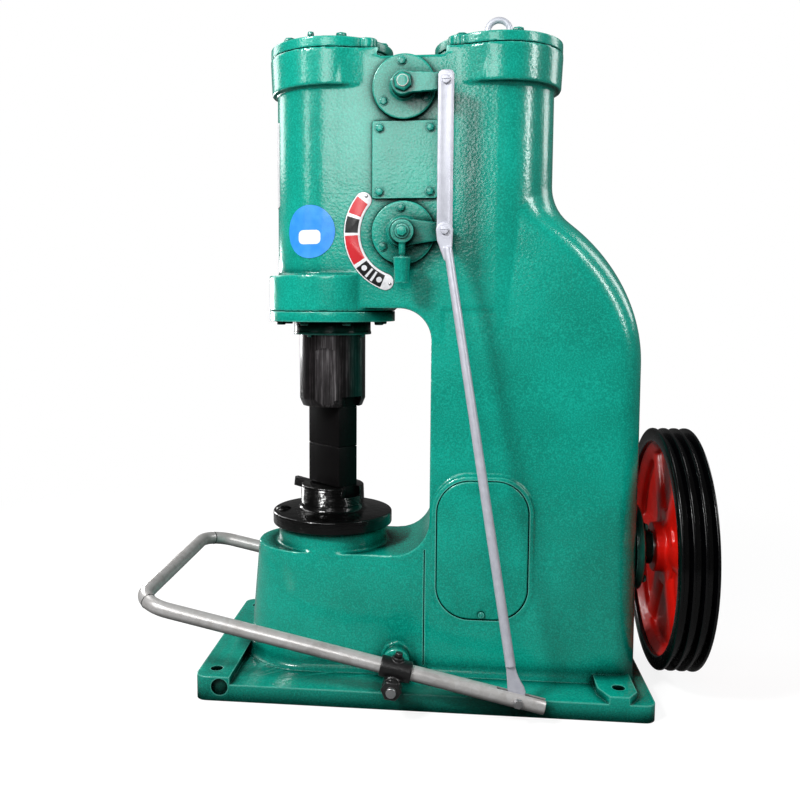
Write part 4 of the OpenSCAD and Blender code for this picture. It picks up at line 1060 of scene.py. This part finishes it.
# the scale is a band of a ring with two round ends
band = {"middle": 95, "half": 15, "from": 141, "to": 250, "front": -107.2, "back": -106.05,
        "rivetCircle": 96, "rivetAngles": (135.5, 255.5), "rivet": 3.1, "rivetHeight": 1.3}
bandOutline = []
for radius, start, end in ((band["middle"] + band["half"], band["from"], band["to"]),
                           (band["middle"] - band["half"], band["to"], band["from"])):
    swing = 0 if end > start else 180
    bandOutline += arc(0, 0, radius, start, end, 48)
    bandOutline += arc(*onCircle(band["middle"], end), band["half"], end + swing, end + swing + 180, 12)[1:-1]
scalePlate = prism([(valveX + a, lowerZ + b) for a, b in bandOutline], band["front"], band["back"], "XZ")
done(eased(scalePlate, 0.35, 2, 40), "arc_scale", scalePrint, "frame", "scale_plate", crease=50)
rivets = []
for angle in band["rivetAngles"]:
    curve = [(band["rivet"] * a, band["rivetHeight"] * b) for a, b in arc(0, 0, 1, 0, 75, 5)]
    dome = turned([(0, 0)] + curve + [(0, band["rivetHeight"])], steps=32)
    along, up = onCircle(band["rivetCircle"], angle)
    rivets.append(facing(dome, valveX + along, band["front"] + 0.05, lowerZ + up))
done(joined(rivets), "scale_rivets", zincBolt, "frame", "scale_plate_rivets")


# treadle

treadleSize = {"x": -516, "z": 190.2, "slope": 12.1, "half": 237, "bend": 62, "near": 751, "far": 567,
               "radius": 14, "wall": 2.8, "pivotAlong": 485.45, "pivotDrop": 27.04, "slotFrom": 664,
               "slotHalf": 4.5, "collar": 19, "collarHalf": 28, "boss": 18, "bossHalf": 20, "setScrew": 7.5,
               "shaftX": -47, "shaftZ": 62, "shaftRadius": 9, "shaftHalf": 281, "nut": 19, "nutHeight": 7.9,
               "nutFrom": 257.3}


def onTreadle(piece, d):
    # from the pipe's own plane to its place at rest
    return placed(piece, (d["x"], 0, d["z"]), d["slope"], "Y")


def tube(path, radius, wall):
    # a pipe along a flat path, with its bore and square-cut ends
    rings, faces, around = [], [], 48
    for i, point in enumerate(path):
        ahead, behind = path[min(i + 1, len(path) - 1)], path[max(i - 1, 0)]
        along = (ahead - behind).normalized()
        side = along.cross(Vector((0, 0, 1)))
        for r in (radius, radius - wall):
            rings += [point + r * (math.cos(a) * side + math.sin(a) * Vector((0, 0, 1)))
                      for a in [2 * math.pi * k / around for k in range(around)]]
    for i in range(len(path) - 1):
        for layer in (0, around):
            for k in range(around):
                a, b = i * 2 * around + layer + k, i * 2 * around + layer + (k + 1) % around
                faces.append([a, b, b + 2 * around, a + 2 * around])
    for start in (0, (len(path) - 1) * 2 * around):
        for k in range(around):
            j = (k + 1) % around
            faces.append([start + k, start + j, start + around + j, start + around + k])
    return meshObject(rings, faces)


def treadlePath(d):
    b, half = d["bend"], d["half"]
    path = [(between(d["near"], b, i / 24), -half) for i in range(24)]
    path += arc(b, b - half, b, -90, -180, 15)[:-1]
    path += [(0, between(b - half, half - b, i / 12)) for i in range(12)]
    path += arc(b, half - b, b, 180, 90, 15)[:-1]
    path += [(between(b, d["far"], i / 20), half) for i in range(21)]
    return [Vector((x, y, 0)) for x, y in path]


def treadlePipe(d):
    pipe = tube(treadlePath(d), d["radius"], d["wall"])
    # slot for the link rod's foot, sawn in the top of the near arm
    arm, half = -d["half"], d["slotHalf"]
    cutAway(pipe, [box((d["slotFrom"], arm - half, 0), (760, arm + half, 20))], "EXACT")
    return onTreadle(eased(pipe, 0.5, 2, 60), d)


done(treadlePipe(treadleSize), "treadle_bent_pipe", galvanised, "treadle", "treadle_pipe", crease=50)
weldBeads = []
for side in (-1, 1):
    # one half way round each bend
    bead = turned([(13.6, -1.6), (14.2, -1.2), (14.7, 0), (14.2, 1.2), (13.6, 1.6)], axis="X")
    bend, (along, out) = treadleSize["bend"], onCircle(treadleSize["bend"], 45)
    weldBeads.append(placed(bead, (bend - out, side * (treadleSize["half"] - bend + along), 0), side * 45))
done(onTreadle(joined(weldBeads), treadleSize), "treadle_weld_beads", clampBlack, "treadle")


def treadleClamp(d, side):
    # a cast collar on the pipe with the pivot boss under it
    pivot = (0, 0, -d["pivotDrop"])
    parts = [rod(d["collar"], -d["collarHalf"], d["collarHalf"], "X", steps=72),
             rod(d["boss"], -d["bossHalf"], d["bossHalf"], "Y", pivot, 64),
             box((-11, -17, -20), (11, 17, -8)), rod(11, 10, 23, steps=40)]
    piece = cast(parts, 1.3, 4, 18000)
    cutAway(piece, [rod(d["radius"] + 0.1, -40, 40, "X"), rod(d["shaftRadius"] + 0.1, -40, 40, "Y", pivot)])
    return placed(eased(piece, 0.5, 2, 60), (d["pivotAlong"], side * d["half"], 0))


clamps = joined([treadleClamp(treadleSize, side) for side in (-1, 1)])
done(onTreadle(clamps, treadleSize), "treadle_collars", clampBlack, "treadle", "treadle_clamps", crease=55)
setScrews = []
for side in (-1, 1):
    screw = joined([placed(hexHead(treadleSize["setScrew"], 7), (0, 0, 24)), rod(4.4, 14, 25, steps=32)])
    setScrews.append(placed(screw, (treadleSize["pivotAlong"], side * treadleSize["half"], 0)))
done(onTreadle(eased(joined(setScrews), 0.7, 2, 25), treadleSize), "collar_screws", clampBlack,
     "treadle", "clamp_screws")


def onShaft(piece, d):
    return placed(piece, (d["shaftX"], 0, d["shaftZ"]))


shaft = edgedRod(treadleSize["shaftRadius"], -treadleSize["shaftHalf"], treadleSize["shaftHalf"], 1.6, "Y")
done(onShaft(shaft, treadleSize), "treadle_pivot_shaft", zincBolt, "frame", "treadle_shaft")
shaftNuts = []
for side in (-1, 1):
    # a nut and a lock nut, turned against each other
    for index, turn in enumerate((5, 24)):
        nut = eased(placed(hexHead(treadleSize["nut"], treadleSize["nutHeight"]), turn=turn), 0.8, 2, 25)
        shaftNuts.append(placed(nut, (0, side * (treadleSize["nutFrom"] + index * 8), 0), side * -90, "X"))
nuts = cutAway(joined(shaftNuts), [rod(treadleSize["shaftRadius"] + 0.1, -300, 300, "Y")], "EXACT")
done(onShaft(nuts, treadleSize), "shaft_lock_nuts", clampBlack, "frame", "shaft_nuts")

rodBolt = joined([facing(placed(hexHead(9.2, 6.4), turn=20), 0, -251, 0),
                  rod(4.9, -252, -217.8, "Y", steps=32), facing(placed(hexHead(9, 5), turn=40), 0, -218, 0)])
done(placed(eased(rodBolt, 0.6, 2, 25), (rodSize["pinX"], 0, rodSize["pinZ"])), "rod_foot_bolt", zincBolt,
     "treadle", "rod_bolt")
print("valves, link and treadle made")


# window cover of the crank chamber

windowCover = {"x": 111, "z": 273, "lid": (170, 264, 62), "spigot": (133, 227, 45.5), "front": -121,
               "back": -112.4, "edge": 4.2, "screwZ": 122, "screw": 6.4}


def sideCover(d):
    # a lid with a broad soft edge, and the spigot behind it that fits the window
    outline = roundedRectangle(d["x"], d["z"], *d["lid"], 24)
    spigot = prism(roundedRectangle(d["x"], d["z"], *d["spigot"], 16), -113, -105.5, "XZ")
    return joined([eased(prism(outline, d["front"], d["back"], "XZ"), d["edge"], 5, 40), spigot])


done(sideCover(windowCover), "crank_window_lid", enamelOnPlate, "frame", "side_cover", crease=60)
windowScrews = []
for side in (-1, 1):
    boss = edgedRod(windowCover["screw"], -0.2, 3.6, 1.4, steps=48)
    screw = joined([boss, placed(hexHead(3.4, 1.0), (0, 0, 3.4), 10)])
    windowScrews.append(facing(screw, windowCover["x"], windowCover["front"],
                               windowCover["z"] + side * windowCover["screwZ"]))
done(joined(windowScrews), "crank_window_screws", enamelOnFitting, "frame", "side_cover_screws")


# rear bearing cover and belt pulley

pulleySize = {"x": 443, "z": crankZ, "radius": 232, "width": 66, "pitch": 20, "depth": 14, "inner": 206,
              "middle": 33, "hub": 48, "hubLength": 77, "arms": 6, "armRoot": 31, "armTip": 25,
              "armFlat": 0.44}

coverProfile = ([(32, 394), (54.8, 394), (54.8, 400.2), (84, 400.2)] + arc(80, 412, 4, 0, 70, 5)
                + [(66, 421), (40, 424)] + arc(41, 431, 7, -110, -175, 5)
                + [(34, 437)] + arc(32, 439, 2, 0, 90, 3) + [(32, 441)])
bearingCover = eased(turned(coverProfile, (0, 0, crankZ), "X", 112), 0.8, 2, 30)
# the bearing cover and its screws take the enamel with painted shade
done(bearingCover, "bearing_cover_casting", shadedEnamel, "frame", "bearing_cover", crease=45)
coverScrews = boltRing((0, 0, 0), 70, [45 + 90 * i for i in range(4)], 7.4, 6, washer=1.2)
done(facingRear(coverScrews, 419, 0, crankZ), "bearing_cover_screws", shadedEnamel,
     "frame", "bearing_cover_bolts")


def pulleyRim(d):
    tip, inner, width = d["radius"], d["inner"], d["width"]
    root, first = tip - d["depth"], (width - 2 * d["pitch"]) / 2
    profile = [(inner, 3)] + arc(inner + 3, 3, 3, 180, 270, 4) + arc(tip - 2.5, 2.5, 2.5, -90, 0, 4)
    for groove in range(3):
        middle = first + groove * d["pitch"]
        profile += arc(tip - 1.6, middle - 9.0, 1.6, 20, 70, 3)
        profile += [(root, middle - 3.6), (root, middle + 3.6)]
        profile += arc(tip - 1.6, middle + 9.0, 1.6, -70, -20, 3)
    profile += arc(tip - 2.5, width - 2.5, 2.5, 0, 90, 4) + arc(inner + 3, width - 3, 3, 90, 180, 4)
    return turned(profile, (d["x"], 0, d["z"]), "X", 224)


def pulleyCentre(d):
    # ring under the rim, arms of oval section and the hub
    x, inner, back, wheel = d["x"], d["inner"], d["x"] + d["width"], (0, 0, d["z"])
    ring = [(inner - 17, x + 20), (inner + 1, x + 6), (inner + 1, back - 6), (inner - 17, back - 20)]
    parts = [turned(ring, wheel, "X", 144)]
    parts += [rod(d["hub"], x + 1, x + d["hubLength"], "X", wheel, 96),
              rod(74, x + 22, x + 44, "X", wheel, 96), rod(inner - 2, x + 30, x + 36, "X", wheel, 144)]
    for i in range(d["arms"]):
        arm = turned([(0, 30), (d["armRoot"], 30), (d["armTip"], inner - 4), (0, inner - 4)], steps=48)
        parts.append(placed(shrunk(arm, d["armFlat"], 1, 1), (x + d["middle"], 0, d["z"]),
                            30 + i * 360 / d["arms"], "X"))
    piece = cast(parts, 2.4, 7, 60000)
    # trimmed to the rim, bored, and cut for the key
    edge = inner + 0.2
    limit = turned([(edge, x - 5), (260, x - 5), (260, x + 85), (edge, x + 85)], wheel, "X", 160)
    return cutAway(piece, [limit, rod(25.2, x - 5, x + 90, "X", wheel),
                           box((x - 5, -7.1, d["z"] + 10), (x + 90, 7.1, d["z"] + 29))])


done(pulleyRim(pulleySize), "pulley_grooved_rim", blackEnamel, "flywheel", "pulley", crease=50)
done(pulleyCentre(pulleySize), "pulley_arms_and_hub", redEnamel, "flywheel", "pulley", crease=55)
endHead = eased(placed(hexHead(13, 9), (0, 0, 6), 7), 0.8, 2, 25)
endScrew = joined([edgedRod(34, 0, 6, 1.2, steps=80), endHead])
done(facingRear(endScrew, 521, 0, crankZ), "pulley_end_screw", zincBolt, "flywheel", "pulley_bolt")


# sign and plate on the working cylinder

def barrelSkin(outline, angle, z, inner, outer):
    # bends a flat outline round the barrel, and lets it run straight where the flat side begins
    radius = castingSize["halfWidth"]
    shell = bmesh.new()
    corners = [shell.verts.new((a / 1000, b / 1000, 0)) for a, b in outline]
    shell.faces.new(corners)
    for cut in [i * 6 for i in range(-12, 13)]:
        bmesh.ops.bisect_plane(shell, geom=shell.verts[:] + shell.edges[:] + shell.faces[:], dist=1e-6,
                               plane_co=(cut / 1000, 0, 0), plane_no=(1, 0, 0))
    extruded = bmesh.ops.extrude_face_region(shell, geom=shell.faces[:])
    for v in shell.verts:
        v.co.z = inner / 1000
    for v in [e for e in extruded["geom"] if isinstance(e, bmesh.types.BMVert)]:
        v.co.z = outer / 1000
    bmesh.ops.recalc_face_normals(shell, faces=shell.faces)
    for v in shell.verts:
        # arc length from the barrel's near line, positive towards the rear
        along, up, lift = v.co * 1000
        run, reach = along + math.radians(angle) * radius, radius + lift
        turn = min(run / radius, 0)
        v.co = Vector((ramX + reach * math.sin(turn) + max(run, 0), -reach * math.cos(turn), z + up)) / 1000
    return fromShell(shell)


signSize = {"disc": 49, "discAngle": -16, "discZ": 866, "discThick": 0.6, "plate": (62, 160, 4),
            "plateAngle": -82, "plateZ": 997, "plateThick": 1.0}
disc = barrelSkin(arc(0, 0, signSize["disc"], 0, 360, 96)[:-1], signSize["discAngle"], signSize["discZ"],
                  0.05, signSize["discThick"])
done(disc, "round_blue_sign", signBlue, "frame", "sign_disc", crease=60)
tall = barrelSkin(roundedRectangle(0, 0, *signSize["plate"], 5), signSize["plateAngle"], signSize["plateZ"],
                  0.05, signSize["plateThick"])
done(tall, "tall_white_plate", plateWhite, "frame", "front_plate", crease=60)


# inner machinery keeps its CAD shape

innerFinish = (
    (turnedSteel, "ram_rings crankshaft pulley_key connecting_rod crank_pin piston_rings"),
    (boredSteel, "upper_valve lower_valve hand_spindle front_bearing rear_bearing wrist_pin"),
    (boredSteel, "compressor_piston"), (rubber, "shaft_seal"))
for material, names in innerFinish:
    for name in names.split():
        dress(nodes[name].data, material, 35)
print("drive, signs and inner parts made")


# studio: pale floor, soft lamps and a camera at the hammer's near side

white = (1, 1, 1, 1)


def paleFloor(lift, fade):
    # matt white vinyl; the camera sees it lifted to white, and it still shows the shadow
    material, tree, shader, fields = newFinish("pale_studio_floor", {
        "Base Color": linear("#707070"), "Roughness": 0.95, "Emission Color": white}, {})
    seen = addNode(tree, "LightPath").outputs["Is Camera Ray"]
    glow = addNode(tree, "Math", (seen, lift), operation="MULTIPLY")
    plug(tree, glow, shader.inputs["Emission Strength"])
    # away from the machine the sweep of the backdrop takes over and the floor is plain white
    away = addNode(tree, "VectorMath", (fields["place"],), operation="LENGTH")
    sweep = addNode(tree, "MapRange", (away, fade[0] / 1000, fade[1] / 1000), interpolation_type="SMOOTHSTEP")
    sweep = addNode(tree, "Math", (seen, sweep), operation="MULTIPLY")
    backdrop = addNode(tree, "Emission", {"Color": white, "Strength": 1})
    blend = addNode(tree, "MixShader", (sweep, shader, backdrop))
    plug(tree, blend, tree.nodes["Material Output"].inputs["Surface"])
    return material


studio = {
    "camera": (54.64, -1727.5, 736.2), "yaw": 6.27, "pitch": -5.40, "roll": -0.13,
    "lens": 39.2625, "shift": (0.0518375, -0.0198625),
    "ambient": 0.13, "mirrored": 0.09, "floorLift": 0.86, "floorFade": (800, 2000),
    "lamps": [
        # name, place, aim, width, height, watts
        ("key", (-1700, -1950, 2600), (0, 0, 700), 560, 560, 98),
        ("frontPanel", (-335, -2600, 1760), (-335, 0, 1500), 830, 1250, 22),
        ("leftStrip", (-1800, -1600, 1850), (-187, -106, 1400), 330, 1300, 10),
        ("leftBack", (-2000, 1100, 2000), (-187, 0, 1100), 900, 1500, 19),
        ("rightStrip", (2100, -1050, 1900), (131, -50, 1300), 300, 1400, 26),
        ("rightBack", (2300, 900, 1900), (300, 0, 900), 700, 1400, 16),
        ("wheelFill", (-1500, 1300, 700), (473, 90, 260), 400, 400, 14)]}


def lamp(name, place, aim, width, height, watts):
    data = bpy.data.lights.new(name, "AREA")
    data.shape, data.size, data.size_y, data.energy = "RECTANGLE", width / 1000, height / 1000, watts
    light = newObject(name, data)
    light.location = Vector(place) / 1000
    light.rotation_euler = (Vector(aim) - Vector(place)).to_track_quat("-Z", "Y").to_euler()


for settings in studio["lamps"]:
    lamp(*settings)

floor = box((-6000, -5000, -20), (6000, 6000, -0.5))
floor.name = "studio_floor"
floor.data.materials.append(paleFloor(studio["floorLift"], studio["floorFade"]))

# the camera sees the room white; it lights the hammer faintly, and its reflection is fainter still
world = bpy.data.worlds.new("pale_room")
world.use_nodes = True
bpy.context.scene.world = world
tree = world.node_tree
background = tree.nodes["Background"]
background.inputs["Color"].default_value = white
rays = addNode(tree, "LightPath").outputs
seen = addNode(tree, "Math", (rays["Is Camera Ray"], rays["Is Transmission Ray"]), operation="MAXIMUM")
dimmer = studio["mirrored"] - studio["ambient"]
level = addNode(tree, "Math", (rays["Is Glossy Ray"], dimmer, studio["ambient"]), operation="MULTIPLY_ADD")
plug(tree, addNode(tree, "Math", (seen, level), operation="MAXIMUM"), background.inputs["Strength"])

cameraData = bpy.data.cameras.new("camera")
camera = newObject("camera", cameraData)
bpy.context.scene.camera = camera
camera.location = Vector(studio["camera"]) / 1000
camera.rotation_euler = [math.radians(a) for a in (90 + studio["pitch"], studio["roll"], studio["yaw"])]
cameraData.lens, cameraData.sensor_width, cameraData.clip_end = studio["lens"], 36, 50
cameraData.shift_x, cameraData.shift_y = studio["shift"]
bpy.context.scene.view_settings.view_transform = "Standard"
print("studio ready")
